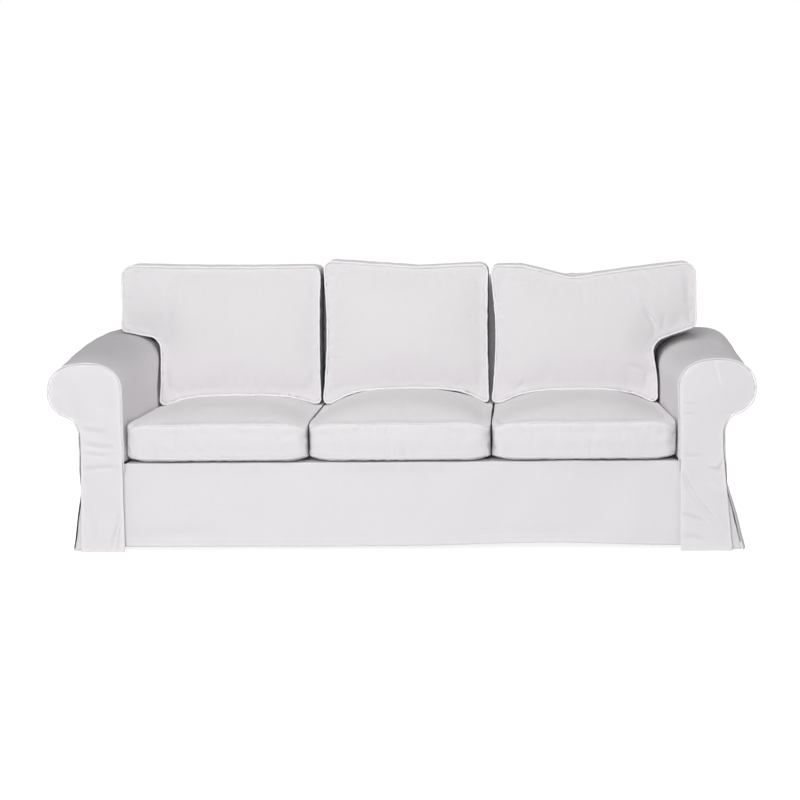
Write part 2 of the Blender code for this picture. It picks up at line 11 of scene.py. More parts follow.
import bpy
import numpy as np
from mathutils import Matrix, Vector
from mathutils.bvhtree import BVHTree
from mathutils.kdtree import KDTree

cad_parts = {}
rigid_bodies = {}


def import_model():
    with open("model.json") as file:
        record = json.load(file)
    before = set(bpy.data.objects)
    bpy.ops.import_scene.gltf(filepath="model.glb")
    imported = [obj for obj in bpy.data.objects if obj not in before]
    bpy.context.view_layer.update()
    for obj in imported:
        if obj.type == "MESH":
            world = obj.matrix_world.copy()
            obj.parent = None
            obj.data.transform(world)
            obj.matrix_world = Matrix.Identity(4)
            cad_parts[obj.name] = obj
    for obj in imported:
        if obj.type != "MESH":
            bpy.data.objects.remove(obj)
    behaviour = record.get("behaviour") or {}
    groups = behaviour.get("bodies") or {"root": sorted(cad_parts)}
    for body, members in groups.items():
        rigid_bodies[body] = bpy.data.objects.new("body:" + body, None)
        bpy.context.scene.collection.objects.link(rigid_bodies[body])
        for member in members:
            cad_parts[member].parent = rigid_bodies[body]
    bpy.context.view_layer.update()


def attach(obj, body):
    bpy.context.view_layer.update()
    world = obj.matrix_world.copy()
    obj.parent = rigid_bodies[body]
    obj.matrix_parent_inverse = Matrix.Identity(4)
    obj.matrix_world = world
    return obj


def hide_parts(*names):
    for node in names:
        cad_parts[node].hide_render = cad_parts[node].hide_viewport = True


for startup_object in list(bpy.data.objects):
    bpy.data.objects.remove(startup_object)

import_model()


# ---- The camera ------------------------------------------------------------------------------------
# A long lens a little above the arms and a little to the right of the middle, nearly straight on.

CAMERA_PLACE = (0.4019, -6.2548, 1.1557)
CAMERA_LENS_MM = 86.98
SENSOR_MM = 36.0
TURN_LEFT, TILT_DOWN, LEAN = (math.radians(degrees) for degrees in (3.8820, 6.7258, -0.9097))

looking = Vector((
    -math.sin(TURN_LEFT) * math.cos(TILT_DOWN),
    math.cos(TURN_LEFT) * math.cos(TILT_DOWN),
    -math.sin(TILT_DOWN),
))
level_right = looking.cross(Vector((0, 0, 1))).normalized()
level_up = level_right.cross(looking)
camera_right = level_right * math.cos(LEAN) + level_up * math.sin(LEAN)
camera_up = level_up * math.cos(LEAN) - level_right * math.sin(LEAN)

camera = bpy.data.objects.new("camera", bpy.data.cameras.new("camera"))
camera.data.lens = CAMERA_LENS_MM
camera.data.sensor_width = SENSOR_MM
camera.matrix_world = (
    Matrix.Translation(CAMERA_PLACE)
    @ Matrix((camera_right, camera_up, -looking)).transposed().to_4x4()
)
bpy.context.scene.collection.objects.link(camera)
bpy.context.scene.camera = camera


# ---- The studio ------------------------------------------------------------------------------------
# A white painted floor that runs out of the picture, a broad lamp low in front and another overhead, and
# weaker ones behind and to the sides. A pale room fills the shadows.

FLOOR_REACH = 30.0
FLOOR_BELOW = 0.0006
FLOOR_COLOUR = "#F4F4F6"
FLOOR_LIFT = 0.95
ROOM_SHADE = "#FFFFFF"
ROOM_STRENGTH = 0.22
BACKDROP_STRENGTH = 1.0
LAMPS = (
    {"name": "front_lamp", "place": (-0.7, -6.1, 2.4), "size": (3.0, 2.0), "watts": 168.0},
    {"name": "high_lamp", "place": (-0.2, -2.75, 6.34), "size": (3.2, 2.4), "watts": 112.0},
    {"name": "left_lamp", "place": (-5.629, 0.0, 3.7), "size": (2.5, 2.0), "watts": 28.0},
    {"name": "right_lamp", "place": (5.629, 0.0, 3.7), "size": (2.5, 2.0), "watts": 30.0},
    {"name": "rear_lamp", "place": (0.0, 5.891, 3.197), "size": (2.5, 2.0), "watts": 52.0},
)
LAMP_AIM = Vector((0.0, 0.0, 0.45))


def linear(hex_colour):
    """An sRGB hex colour as the linear red, green, blue and alpha that a shader takes."""
    channels = [int(hex_colour[i : i + 2], 16) / 255 for i in (1, 3, 5)]
    return (*(c / 12.92 if c <= 0.04045 else ((c + 0.055) / 1.055) ** 2.4 for c in channels), 1.0)


def add_node(tree, kind, inputs=None, **settings):
    """A node with its settings, and with each named or numbered input set or linked from another socket."""
    node = tree.nodes.new(kind)
    for setting, value in settings.items():
        setattr(node, setting, value)
    for socket, value in (inputs or {}).items():
        if isinstance(value, bpy.types.NodeSocket):
            tree.links.new(value, node.inputs[socket])
        else:
            node.inputs[socket].default_value = value
    return node


def bare_material(name):
    """A new material and its node tree, which is still empty."""
    material = bpy.data.materials.new(name)
    material.use_nodes = True
    material.node_tree.nodes.clear()
    return material, material.node_tree


def painted_floor():
    """Matt white emulsion on a smooth floor, lifted for the eye as an overexposed studio floor is."""
    material, tree = bare_material("matt_white_floor_paint")
    place = add_node(tree, "ShaderNodeTexCoord").outputs["Object"]
    rolled = add_node(tree, "ShaderNodeTexNoise", {"Vector": place, "Scale": 9.0, "Detail": 4.0})
    skin = add_node(tree, "ShaderNodeBump", {"Height": rolled.outputs[0], "Strength": 0.02})
    paint = add_node(tree, "ShaderNodeBsdfPrincipled", {
        "Base Color": linear(FLOOR_COLOUR), "Roughness": 0.85, "Normal": skin.outputs[0],
    })
    lift = add_node(tree, "ShaderNodeEmission", {"Color": linear(FLOOR_COLOUR), "Strength": FLOOR_LIFT})
    seen = add_node(tree, "ShaderNodeLightPath").outputs["Is Camera Ray"]
    none = add_node(tree, "ShaderNodeEmission", {"Strength": 0.0})
    shown = add_node(tree, "ShaderNodeMixShader", {0: seen, 1: none.outputs[0], 2: lift.outputs[0]})
    both = add_node(tree, "ShaderNodeAddShader", {0: paint.outputs[0], 1: shown.outputs[0]})
    add_node(tree, "ShaderNodeOutputMaterial", {"Surface": both.outputs[0]})
    return material


floor_mesh = bpy.data.meshes.new("floor")
floor_mesh.from_pydata(
    [(x * FLOOR_REACH, y * FLOOR_REACH, -FLOOR_BELOW) for x, y in ((-1, -1), (1, -1), (1, 1), (-1, 1))],
    [],
    [(0, 1, 2, 3)],
)
floor_mesh.materials.append(painted_floor())
floor = bpy.data.objects.new("floor", floor_mesh)
bpy.context.scene.collection.objects.link(floor)

for lamp in LAMPS:
    light = bpy.data.lights.new(lamp["name"], "AREA")
    light.shape = "RECTANGLE"
    light.size, light.size_y = lamp["size"]
    light.energy = lamp["watts"]
    holder = bpy.data.objects.new(lamp["name"], light)
    holder.location = lamp["place"]
    holder.rotation_euler = (LAMP_AIM - Vector(lamp["place"])).to_track_quat("-Z", "Y").to_euler()
    holder.visible_camera = False
    bpy.context.scene.collection.objects.link(holder)

room = bpy.data.worlds.new("room")
room.use_nodes = True
room.node_tree.nodes.clear()
backdrop_seen = add_node(room.node_tree, "ShaderNodeLightPath").outputs["Is Camera Ray"]
room_light = add_node(room.node_tree, "ShaderNodeBackground", {
    "Color": linear(ROOM_SHADE), "Strength": ROOM_STRENGTH,
})
backdrop = add_node(room.node_tree, "ShaderNodeBackground", {
    "Color": linear(ROOM_SHADE), "Strength": BACKDROP_STRENGTH,
})
room_mix = add_node(room.node_tree, "ShaderNodeMixShader", {
    0: backdrop_seen, 1: room_light.outputs[0], 2: backdrop.outputs[0],
})
add_node(room.node_tree, "ShaderNodeOutputWorld", {"Surface": room_mix.outputs[0]})
bpy.context.scene.world = room
bpy.context.scene.view_settings.view_transform = "Standard"


# ---- The front panels of the arms ------------------------------------------------------------------
# One piece of heavy cotton closes the front of each arm, from the scroll of the roll down to the floor.
# It is cut to the scroll, sewn into the piping round it, and turned up at the floor in a stitched hem.

COTTON_THICKNESS = 0.0016
COTTON_SHADE = "#EBE8EA"
COTTON_WORN = "#F7F5F7"
PAINTED_SHADE_GREY = "#66636A"
THREAD_MM = 1.3  # the real yarns lie 0.5 mm apart, drawn coarser so that they show close up
SLUB_MM = 16.0
CRUMPLE_MM = 42.0
FRONT_Y = -0.436
REAR_Y = 0.4420
CAD_CLOTH = 0.002
ROLL_POWER = 2.3
ROLL_SPLAY = 0.020
ROLL_NARROWING = 0.006
TOE_REACH = 0.6
TOE_POWER = 1.5
UNDERSIDE_ANGLE = -70
NECK_DROP = 0.055
INNER_WALL_Z = 0.35
STEM_TOP_Z = 0.31
FACE_CROWN = 0.004
PIPING_END_Z = 0.25
FACE_STEP = 0.0045
SEAM_FADE = 0.005
HEM_DEPTH = 0.026
HEM_THICKNESS = 0.0009
HEM_STITCH_SINK = 0.0006
HEM_FOLD = {"past": 0.002, "fade": 0.0008, "stitch_reach": 0.0022}
CREASE_LIP = {"share": 0.45, "away": 1.8, "reach": 1.4}
SCROLL_TOP_ANGLE = 86
SCROLL_TURN = 3.0
ARMS = {
    "left": {
        "side": -1, "inner": 0.8535, "roll_x": 0.964, "roll_z": 0.500, "half_width": 0.1105,
        "half_height": 0.084, "stem_outer": 0.982, "hem_outer": 0.991, "side_hem": 1.019,
        "toe": 0.022, "rise": 0.044, "swell": 0.024,
    },
    "right": {
        "side": 1, "inner": 0.8535, "roll_x": 0.963, "roll_z": 0.497, "half_width": 0.1115,
        "half_height": 0.084, "stem_outer": 0.982, "hem_outer": 1.010, "side_hem": 1.046,
        "toe": 0.028, "rise": 0.028, "swell": -0.004,
    },
}

# Each crease runs from a start through a bend to an end, and then come its half width and its height in
# millimetres. A negative height is a trough with a soft lip on its left as it runs.
ARM_FRONT_CREASES = {
    "left": (
        ((-0.984, 0.390), (-0.945, 0.372), (-0.900, 0.378), 7, -4.5),
        ((-0.985, 0.345), (-0.940, 0.322), (-0.872, 0.328), 8, -6.0),
        ((-0.975, 0.312), (-0.940, 0.298), (-0.885, 0.305), 6, -3.9),
        ((-0.985, 0.255), (-0.920, 0.268), (-0.858, 0.262), 8, -4.5),
        ((-0.893, 0.000), (-0.884, 0.050), (-0.868, 0.110), 5, -7.5),
        ((-0.876, 0.000), (-0.872, 0.040), (-0.862, 0.080), 4, 6.0),
        ((-0.975, 0.140), (-0.955, 0.090), (-0.950, 0.030), 14, -3.0),
    ),
    "right": (
        ((0.862, 0.244), (0.874, 0.200), (0.902, 0.158), 6, -10.5),
        ((0.894, 0.168), (0.925, 0.125), (0.975, 0.072), 8, -6.8),
        ((0.858, 0.112), (0.885, 0.112), (0.925, 0.090), 5, -5.2),
        ((0.932, 0.257), (0.960, 0.246), (0.984, 0.258), 4, -6.0),
        ((0.984, 0.305), (0.978, 0.270), (0.955, 0.255), 4, 5.2),
        ((0.858, 0.292), (0.885, 0.287), (0.918, 0.293), 5, -4.5),
        ((0.857, 0.449), (0.872, 0.451), (0.897, 0.446), 4, -3.3),
        ((0.857, 0.420), (0.872, 0.417), (0.895, 0.420), 4, -3.0),
        ((0.948, 0.580), (0.962, 0.545), (0.972, 0.500), 5, -3.6),
        ((0.860, 0.036), (0.885, 0.050), (0.925, 0.030), 8, -5.2),
        ((0.985, 0.350), (0.978, 0.335), (0.974, 0.310), 4, -4.5),
        ((0.930, 0.200), (0.955, 0.180), (0.985, 0.175), 10, 3.0),
    ),
}


def woven_cotton(name, shade, worn, thread_mm, bias=0.0):
    """Heavy plain-weave cotton, washed and not pressed: matt, with a fibre sheen at grazing angles, fine
    crossed yarns, a few thicker slubs, a soft crumple, paler cloth where seams and hems rub, and painted
    shade: a grey mixed into the colour on the arms' tops and where the cloth faces a neighbouring cushion."""
    material, tree = bare_material(name)
    cut = add_node(tree, "ShaderNodeUVMap", uv_map="cut").outputs[0]
    yarns = add_node(tree, "ShaderNodeMapping", {
        "Vector": cut, "Rotation": (0.0, 0.0, bias), "Scale": (1000 / thread_mm,) * 3,
    })
    axes = add_node(tree, "ShaderNodeSeparateXYZ", {0: yarns.outputs[0]})
    ridges = []
    for axis in (0, 1):
        half_turns = add_node(tree, "ShaderNodeMath", {
            0: axes.outputs[axis], 1: math.pi,
        }, operation="MULTIPLY")
        swing = add_node(tree, "ShaderNodeMath", {0: half_turns.outputs[0]}, operation="SINE")
        ridge = add_node(tree, "ShaderNodeMath", {0: swing.outputs[0]}, operation="ABSOLUTE")
        ridges.append(ridge.outputs[0])
    weave = add_node(tree, "ShaderNodeMath", {0: ridges[0], 1: ridges[1]}, operation="MULTIPLY")

    slubs = []
    for stretch in ((1.0, 0.06), (0.06, 1.0)):
        along = add_node(tree, "ShaderNodeMapping", {
            "Vector": cut, "Rotation": (0.0, 0.0, bias),
            "Scale": (stretch[0] * 6000 / SLUB_MM, stretch[1] * 6000 / SLUB_MM, 1.0),
        })
        streak = add_node(tree, "ShaderNodeTexNoise", {
            "Vector": along.outputs[0], "Scale": 1.0, "Detail": 3.0,
        })
        slubs.append(streak.outputs[0])
    slub = add_node(tree, "ShaderNodeMath", {0: slubs[0], 1: slubs[1]}, operation="ADD")
    crumple = add_node(tree, "ShaderNodeTexNoise", {
        "Vector": add_node(tree, "ShaderNodeTexCoord").outputs["Object"],
        "Scale": 1000 / CRUMPLE_MM, "Detail": 3.0, "Roughness": 0.55,
    })

    yarn_bump = add_node(tree, "ShaderNodeBump", {
        "Height": weave.outputs[0], "Strength": 0.6, "Distance": 0.00025,
    })
    slub_bump = add_node(tree, "ShaderNodeBump", {
        "Height": slub.outputs[0], "Strength": 0.6, "Distance": 0.0004, "Normal": yarn_bump.outputs[0],
    })
    crumple_bump = add_node(tree, "ShaderNodeBump", {
        "Height": crumple.outputs[0], "Strength": 0.5, "Distance": 0.0030, "Normal": slub_bump.outputs[0],
    })

    rubbed = add_node(tree, "ShaderNodeAttribute", attribute_name="seam").outputs["Fac"]
    patchy = add_node(tree, "ShaderNodeMapRange", {
        "Value": slub.outputs[0], "From Min": 0.75, "From Max": 1.35, "To Min": 0.0, "To Max": 0.22,
    })
    paler = add_node(tree, "ShaderNodeMath", {
        0: rubbed, 1: patchy.outputs[0],
    }, operation="ADD", use_clamp=True)
    colour = add_node(tree, "ShaderNodeMix", {
        "Factor": paler.outputs[0], 6: linear(shade), 7: linear(worn),
    }, data_type="RGBA")
    # Painted shade: a grey is mixed into the colour as far as each point's attribute asks.
    painted_shade = add_node(tree, "ShaderNodeAttribute", attribute_name="painted_shade").outputs["Fac"]
    painted_grey = add_node(tree, "ShaderNodeMix", {
        "Factor": painted_shade, 6: colour.outputs[2], 7: linear(PAINTED_SHADE_GREY),
    }, data_type="RGBA")
    roughness = add_node(tree, "ShaderNodeMapRange", {
        "Value": weave.outputs[0], "To Min": 0.98, "To Max": 0.86,
    })
    shader = add_node(tree, "ShaderNodeBsdfPrincipled", {
        "Base Color": painted_grey.outputs[2], "Roughness": roughness.outputs[0],
        "Normal": crumple_bump.outputs[0], "Specular IOR Level": 0.25, "IOR": 1.47,
        "Sheen Weight": 0.12, "Sheen Roughness": 0.45,
    })
    add_node(tree, "ShaderNodeOutputMaterial", {"Surface": shader.outputs[0]})
    return material


def grid_normals(grid):
    """The unit normal at each point of a grid whose rows run down and whose columns run to the right."""
    down = np.gradient(grid, axis=0)
    across = np.gradient(grid, axis=1)
    normals = np.cross(down, across)
    return normals / np.maximum(np.linalg.norm(normals, axis=2, keepdims=True), 1e-12)


def running_length(points, axis):
    """How far each point of a grid lies along its rows or columns from the first one."""
    steps = np.linalg.norm(np.diff(points, axis=axis), axis=2)
    first = np.zeros_like(steps.take([0], axis=axis))
    return np.concatenate([first, np.cumsum(steps, axis=axis)], axis=axis)


def marked_cloth(mesh, cut, seam, painted_shade, material):
    """Gives a mesh its cloth: the cut in metres for the weave, how rubbed each point is and how much painted
    shade greys it.
    """
    layer = mesh.uv_layers.new(name="cut")
    layer.data.foreach_set("uv", cut.astype(np.float32).ravel())
    for mark, values in (("seam", seam), ("painted_shade", painted_shade)):
        attribute = mesh.attributes.new(mark, "FLOAT", "POINT")
        attribute.data.foreach_set("value", values.astype(np.float32).ravel())
    mesh.materials.clear()
    mesh.materials.append(material)
    mesh.shade_smooth()


def cloth_panel(name, grid, material, painted_shade=0.0):
    """A sewn panel through a grid of points. Its UV map holds the cut in metres, with the grain down its
    middle, its seam attribute fades in from its sewn and hemmed edges, and its last argument sets how much
    painted shade greys each point."""
    count, across = grid.shape[:2]
    middle = across // 2
    along = running_length(grid, 0)
    sideways = running_length(grid, 1)
    u = sideways - sideways[:, middle : middle + 1]
    v = np.repeat(along[:, middle : middle + 1], across, axis=1)
    nearest = np.min(np.stack([along, along[-1] - along, sideways, sideways[:, -1:] - sideways]), axis=0)

    mesh = bpy.data.meshes.new(name)
    corner = np.arange((count - 1) * across).reshape(count - 1, across)[:, :-1].ravel()
    faces = np.stack([corner, corner + across, corner + across + 1, corner + 1], axis=1)
    mesh.from_pydata(grid.reshape(-1, 3).tolist(), [], faces.tolist())
    cut = np.stack([u.ravel(), v.ravel()], axis=1)[faces.ravel()]
    marked_cloth(mesh, cut, np.exp(-nearest / SEAM_FADE), np.broadcast_to(painted_shade, (count, across)), material)
    panel = bpy.data.objects.new(name, mesh)
    bpy.context.scene.collection.objects.link(panel)
    thicken = panel.modifiers.new("thickness", "SOLIDIFY")
    thicken.thickness = COTTON_THICKNESS
    thicken.offset = 0.0
    return panel


def sewn_into_place(piece, material_slot, *nodes):
    """The piece rides on the cover and stands for its plain solids, which it hides. Its material_slot is not
    used.
    """
    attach(piece, "root")
    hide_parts(*nodes)
    return piece


def crease_relief(places, creases):
    """The height that creases give a panel at each of its places, which are pairs of coordinates."""
    relief = np.zeros(places.shape[:-1])
    share = np.linspace(0, 1, 25)[:, None]
    for *bends, half_mm, height_mm in creases:
        start, bend, end = (np.array(place) for place in bends)
        path = start * (1 - share) ** 2 + 2 * bend * share * (1 - share) + end * share**2
        heading = np.gradient(path, axis=0)
        heading /= np.linalg.norm(heading, axis=1, keepdims=True)
        offset = places[..., None, :] - path
        distance = np.linalg.norm(offset, axis=-1)
        nearest = distance.argmin(axis=-1)
        reach = np.take_along_axis(distance, nearest[..., None], -1)[..., 0]
        turned = heading[nearest]
        away = np.take_along_axis(offset, nearest[..., None, None], -2)[..., 0, :]
        left = np.sign(turned[..., 0] * away[..., 1] - turned[..., 1] * away[..., 0])
        along = nearest / (len(share) - 1)
        taper = np.sin(np.pi * np.clip(0.03 + 0.94 * along, 0, 1)) ** 0.8
        signed = reach * left / (half_mm / 1000)
        lip = np.exp(-(((signed - CREASE_LIP["away"]) / CREASE_LIP["reach"]) ** 2))
        profile = np.exp(-(signed**2)) - CREASE_LIP["share"] * lip
        relief += height_mm / 1000 * taper * profile
    return relief


def uneven_relief(places, wavelength, height, seed):
    """Soft hollows and swells of about one wavelength, the same each time for the same seed."""
    random = np.random.default_rng(seed)
    relief = np.zeros(places.shape[:-1])
    waves = 9
    for _ in range(waves):
        heading = random.uniform(0, 2 * np.pi)
        stretch = wavelength * random.uniform(0.7, 1.8)
        phase = random.uniform(0, 2 * np.pi)
        direction = np.array((math.cos(heading), math.sin(heading)))
        relief += np.sin(2 * np.pi * (places @ direction) / stretch + phase)
    return height * relief / math.sqrt(waves)


def hem_relief(height_above_hem):
    """The doubled cloth of a hem, with the line of its stitches sunk a little at its upper edge."""
    above = height_above_hem - HEM_DEPTH
    doubled = HEM_THICKNESS / (1 + np.exp((above - HEM_FOLD["past"]) / HEM_FOLD["fade"]))
    return doubled - HEM_STITCH_SINK * np.exp(-((above / HEM_FOLD["stitch_reach"]) ** 2))


def hem_stitch_line(grid, outwards):
    """The row of a panel's points that a hem's stitches follow, on the face that looks this way."""
    stitched = np.abs(grid[:, 0, 2] - HEM_DEPTH).argmin()
    outwards = np.broadcast_to(outwards, grid.shape)
    return grid[stitched] + outwards[stitched] * COTTON_THICKNESS / 2


def toe_in(arm, station):
    """How far the arm's inner side has come towards the seat, from the front (station 0) to the rear (1)."""
    return arm["toe"] * (1 - (1 - min(1.0, station / TOE_REACH)) ** TOE_POWER)


def roll_section(arm, station):
    """Centre x and z of the arm's roll, its half widths on the inner and outer side, and half its height."""
    half_swell = 0.5 * arm["swell"] * math.sin(math.pi * station)
    centre_x = arm["roll_x"] + ROLL_SPLAY * station
    shoulder = arm["roll_x"] - arm["half_width"] - toe_in(arm, station)
    return (
        centre_x,
        arm["roll_z"] + arm["rise"] * station + half_swell,
        centre_x - shoulder,
        arm["half_width"] - ROLL_NARROWING * station,
        arm["half_height"] + half_swell,
    )


def inner_side(arm, station, z):
    """How far from the middle the arm's inner side stands at a height, up to the top of its roll."""
    centre_x, centre_z, inner_half, _, half_height = roll_section(arm, station)
    wall = arm["inner"] - toe_in(arm, station)
    if z <= centre_z:
        climb = max(0.0, (z - INNER_WALL_Z) / (centre_z - INNER_WALL_Z))
        return wall + (centre_x - inner_half - wall) * climb**2
    height = min(1.0, (z - centre_z) / half_height)
    return centre_x - inner_half * (1 - height**ROLL_POWER) ** (1 / ROLL_POWER)


def underside(arm, station):
    """Where the roll's outer curve stops and the neck below it starts, as height and x."""
    centre_x, centre_z, _, outer_half, half_height = roll_section(arm, station)
    turn = math.radians(UNDERSIDE_ANGLE)
    drop = abs(math.sin(turn)) ** (2 / ROLL_POWER)
    return centre_z - half_height * drop, centre_x + outer_half * math.cos(turn) ** (2 / ROLL_POWER)


def outer_side(arm, station, z):
    """How far from the middle the arm's outer side stands at a height, from the floor to the roll's top."""
    centre_x, centre_z, _, outer_half, half_height = roll_section(arm, station)
    turn_z, turn_x = underside(arm, station)
    stem = arm["stem_outer"] + ROLL_SPLAY * station
    if z >= turn_z:
        height = min(1.0, abs(z - centre_z) / half_height)
        return centre_x + outer_half * (1 - height**ROLL_POWER) ** (1 / ROLL_POWER)
    if z >= turn_z - NECK_DROP:
        return stem + (turn_x - stem) * (1 - (turn_z - z) / NECK_DROP) ** 2
    return stem + (arm["hem_outer"] - arm["stem_outer"]) * max(0.0, 1 - z / STEM_TOP_Z)


def face_heights(arm, station):
    """Heights for the rows of an arm's end panel, closer together where the scroll turns."""
    _, centre_z, _, _, half_height = roll_section(arm, station)
    turns = np.radians(np.arange(SCROLL_TOP_ANGLE, UNDERSIDE_ANGLE, -SCROLL_TURN))
    scroll = [centre_z + half_height * math.copysign(abs(math.sin(t)) ** (2 / ROLL_POWER), t) for t in turns]
    rest = np.arange(scroll[-1] - FACE_STEP, FACE_STEP / 2, -FACE_STEP)
    return [*scroll, *rest, 0.0]


def arm_face_grid(arm, station, y, columns):
    """The flat grid of an arm's end panel, from the top of the scroll to the floor."""
    shares = np.linspace(0, 1, columns + 1)
    rows = []
    for z in face_heights(arm, station):
        inner, outer = inner_side(arm, station, z), outer_side(arm, station, z)
        rows.append([(arm["side"] * (inner + (outer - inner) * share), y, z) for share in shares])
    return np.array(rows), shares


cotton = woven_cotton("washed_plain_weave_cotton", COTTON_SHADE, COTTON_WORN, THREAD_MM)
seam_lines = []

for label, arm in ARMS.items():
    grid, shares = arm_face_grid(arm, 0.0, FRONT_Y, columns=44)
    heights = grid[..., 2]
    climb = np.clip((heights - INNER_WALL_Z) / (arm["roll_z"] - INNER_WALL_Z), 0, 1)
    across = np.sin(np.pi * shares)[None, :]
    places = grid[..., [0, 2]]
    folds = crease_relief(places, ARM_FRONT_CREASES[label])
    folds += uneven_relief(places, 0.11, 0.0011, seed=3 if label == "left" else 4)
    held = np.where(heights > PIPING_END_Z, np.clip(2.2 * across, 0, 1), 1.0)
    grid[..., 1] -= FACE_CROWN * climb * across + folds * held + hem_relief(heights)
    if arm["side"] < 0:
        grid = grid[:, ::-1]
    panel = cloth_panel(f"front_panel_{label}", grid, cotton)
    sewn_into_place(panel, "white_cotton", f"arm_front_{label}")
    seam_lines.append(hem_stitch_line(grid, (0, -1, 0)))


# ---- The cloth over the arms -----------------------------------------------------------------------
# A length of the same cotton is pulled from the seat deck up the inside of each arm, over the roll and
# round to the neck below it. Halfway along, the left one stands up a little and the right one dips.

ROLL_FRONT_Y = FRONT_Y + 0.0008
ROLL_REAR_Y = 0.4392
ROLL_FOOT_Z = 0.28
ROLL_COLUMNS = 88
ROLL_ROWS = 112
PUCKER_PITCH = 0.021
PUCKER_REACH = 0.016
PUCKER_HEIGHT = 0.0007
PAINTED_ROLL_TOP_SHADE = {"left": 0.38, "right": 0.20}  # painted shade on the rolls' tops, a guess: the photo's tops are greyer than these lamps make them
GREY_FROM_FRONT = 0.05
HELD_FROM_FRONT = 0.012
WALL_STEP = 0.008
OVER_TURN = 4
ROLL_CREASES = {
    "left": (
        ((0.02, 0.14), (0.10, 0.20), (0.14, 0.32), 16, -3.0),
        ((-0.43, 0.30), (-0.36, 0.33), (-0.24, 0.33), 12, -2.0),
        ((-0.20, 0.46), (0.00, 0.43), (0.20, 0.46), 18, -2.5),
    ),
    "right": (
        ((0.03, 0.15), (0.12, 0.21), (0.15, 0.33), 16, -3.0),
        ((-0.43, 0.36), (-0.34, 0.38), (-0.22, 0.36), 12, -2.2),
        ((-0.15, 0.45), (0.05, 0.42), (0.25, 0.45), 18, -2.5),
    ),
}


def resampled(points, count):
    """A path of points moved along itself so that this many lie evenly spaced on it."""
    points = np.array(points)
    lengths = np.concatenate([[0.0], np.cumsum(np.linalg.norm(np.diff(points, axis=0), axis=1))])
    wanted = np.linspace(0, lengths[-1], count)
    return np.stack([np.interp(wanted, lengths, points[:, k]) for k in range(points.shape[1])], axis=1)


def pucker_relief(along, away, seed):
    """Small gathers that stand at right angles to a seam and die out away from it."""
    random = np.random.default_rng(seed)
    gathers = np.zeros_like(along)
    for _ in range(4):
        pitch = PUCKER_PITCH * random.uniform(0.6, 2.2)
        gathers += np.sin(2 * np.pi * along / pitch + random.uniform(0, 2 * np.pi))
    return PUCKER_HEIGHT * gathers / 2 * np.exp(-away / PUCKER_REACH)


def roll_outline(arm, station):
    """The cloth's section over the arm (distance from the middle, height), from the deck to the neck."""
    centre_x, centre_z, inner_half, outer_half, half_height = roll_section(arm, station)
    wall = [(inner_side(arm, station, z), z) for z in np.arange(ROLL_FOOT_Z, centre_z, WALL_STEP)]
    over = []
    for angle in np.arange(180, UNDERSIDE_ANGLE - 1, -OVER_TURN):
        turn = math.radians(angle)
        across = math.copysign(abs(math.cos(turn)) ** (2 / ROLL_POWER), math.cos(turn))
        up = math.copysign(abs(math.sin(turn)) ** (2 / ROLL_POWER), math.sin(turn))
        half_width = inner_half if across < 0 else outer_half
        over.append((centre_x + half_width * across, centre_z + half_height * up))
    return resampled(wall + over, ROLL_COLUMNS)


for label, arm in ARMS.items():
    rows = []
    for station in np.linspace(1, 0, ROLL_ROWS):
        section = roll_outline(arm, station)
        y = ROLL_FRONT_Y + (ROLL_REAR_Y - ROLL_FRONT_Y) * station
        rows.append(np.stack([arm["side"] * section[:, 0], np.full(ROLL_COLUMNS, y), section[:, 1]], axis=1))
    grid = np.array(rows)
    if arm["side"] < 0:
        grid = grid[:, ::-1]
    outwards = grid_normals(grid)
    # Painted shade: cloth facing up on the rolls is greyed, fading in from the front seam.
    from_front = 1 - np.exp(-(grid[..., 1] - ROLL_FRONT_Y) / GREY_FROM_FRONT)
    painted_grey = PAINTED_ROLL_TOP_SHADE[label] * from_front * np.clip(outwards[..., 2], 0, 1)
    round_arm = running_length(grid, 1)
    if arm["side"] < 0:
        round_arm = round_arm[:, -1:] - round_arm
    places = np.stack([grid[..., 1], round_arm], axis=2)
    held = 1 - np.exp(-(grid[..., 1] - ROLL_FRONT_Y) / HELD_FROM_FRONT)
    folds = crease_relief(places, ROLL_CREASES[label]) + uneven_relief(places, 0.16, 0.0013, seed=11)
    folds = folds * held + pucker_relief(round_arm, grid[..., 1] - ROLL_FRONT_Y, seed=12) * (1 - held * 0.3)
    grid += outwards * folds[..., None]
    cover = cloth_panel(f"arm_cover_{label}", grid, cotton, painted_shade=painted_grey)
    sewn_into_place(cover, "white_cotton", f"arm_roll_{label}")


# ---- The outer sides of the arms -------------------------------------------------------------------
# A straight panel is sewn under the roll and hangs free to the floor in shallow waves, hemmed like the
# rest. Its front and rear edges are open slits over the kick pleats.

SIDE_PROUD = 0.003
SIDE_PROUD_SEWN = 0.0006
SIDE_CORNER_TUCK = 0.006
SIDE_WAVES = 3
SIDE_WAVE_DEPTH = 0.007
SLIT_TOP_Z = 0.230
SLIT_SETBACK = 0.006
FLARE_LOSS = 0.5
SLIT_BAYS = 12
SLIT_OPENING = {"bays": 6, "from": 0.5}
SIDE_COLUMNS = 112
SIDE_STEP = 0.008


def skirt_flare(arm, station, z):
    """How far the outer side's skirt flares out past the stem, most at the hem and at the front."""
    free = max(0.0, 1 - z / SLIT_TOP_Z)
    return (arm["side_hem"] - arm["hem_outer"]) * free * (1 - FLARE_LOSS * station)


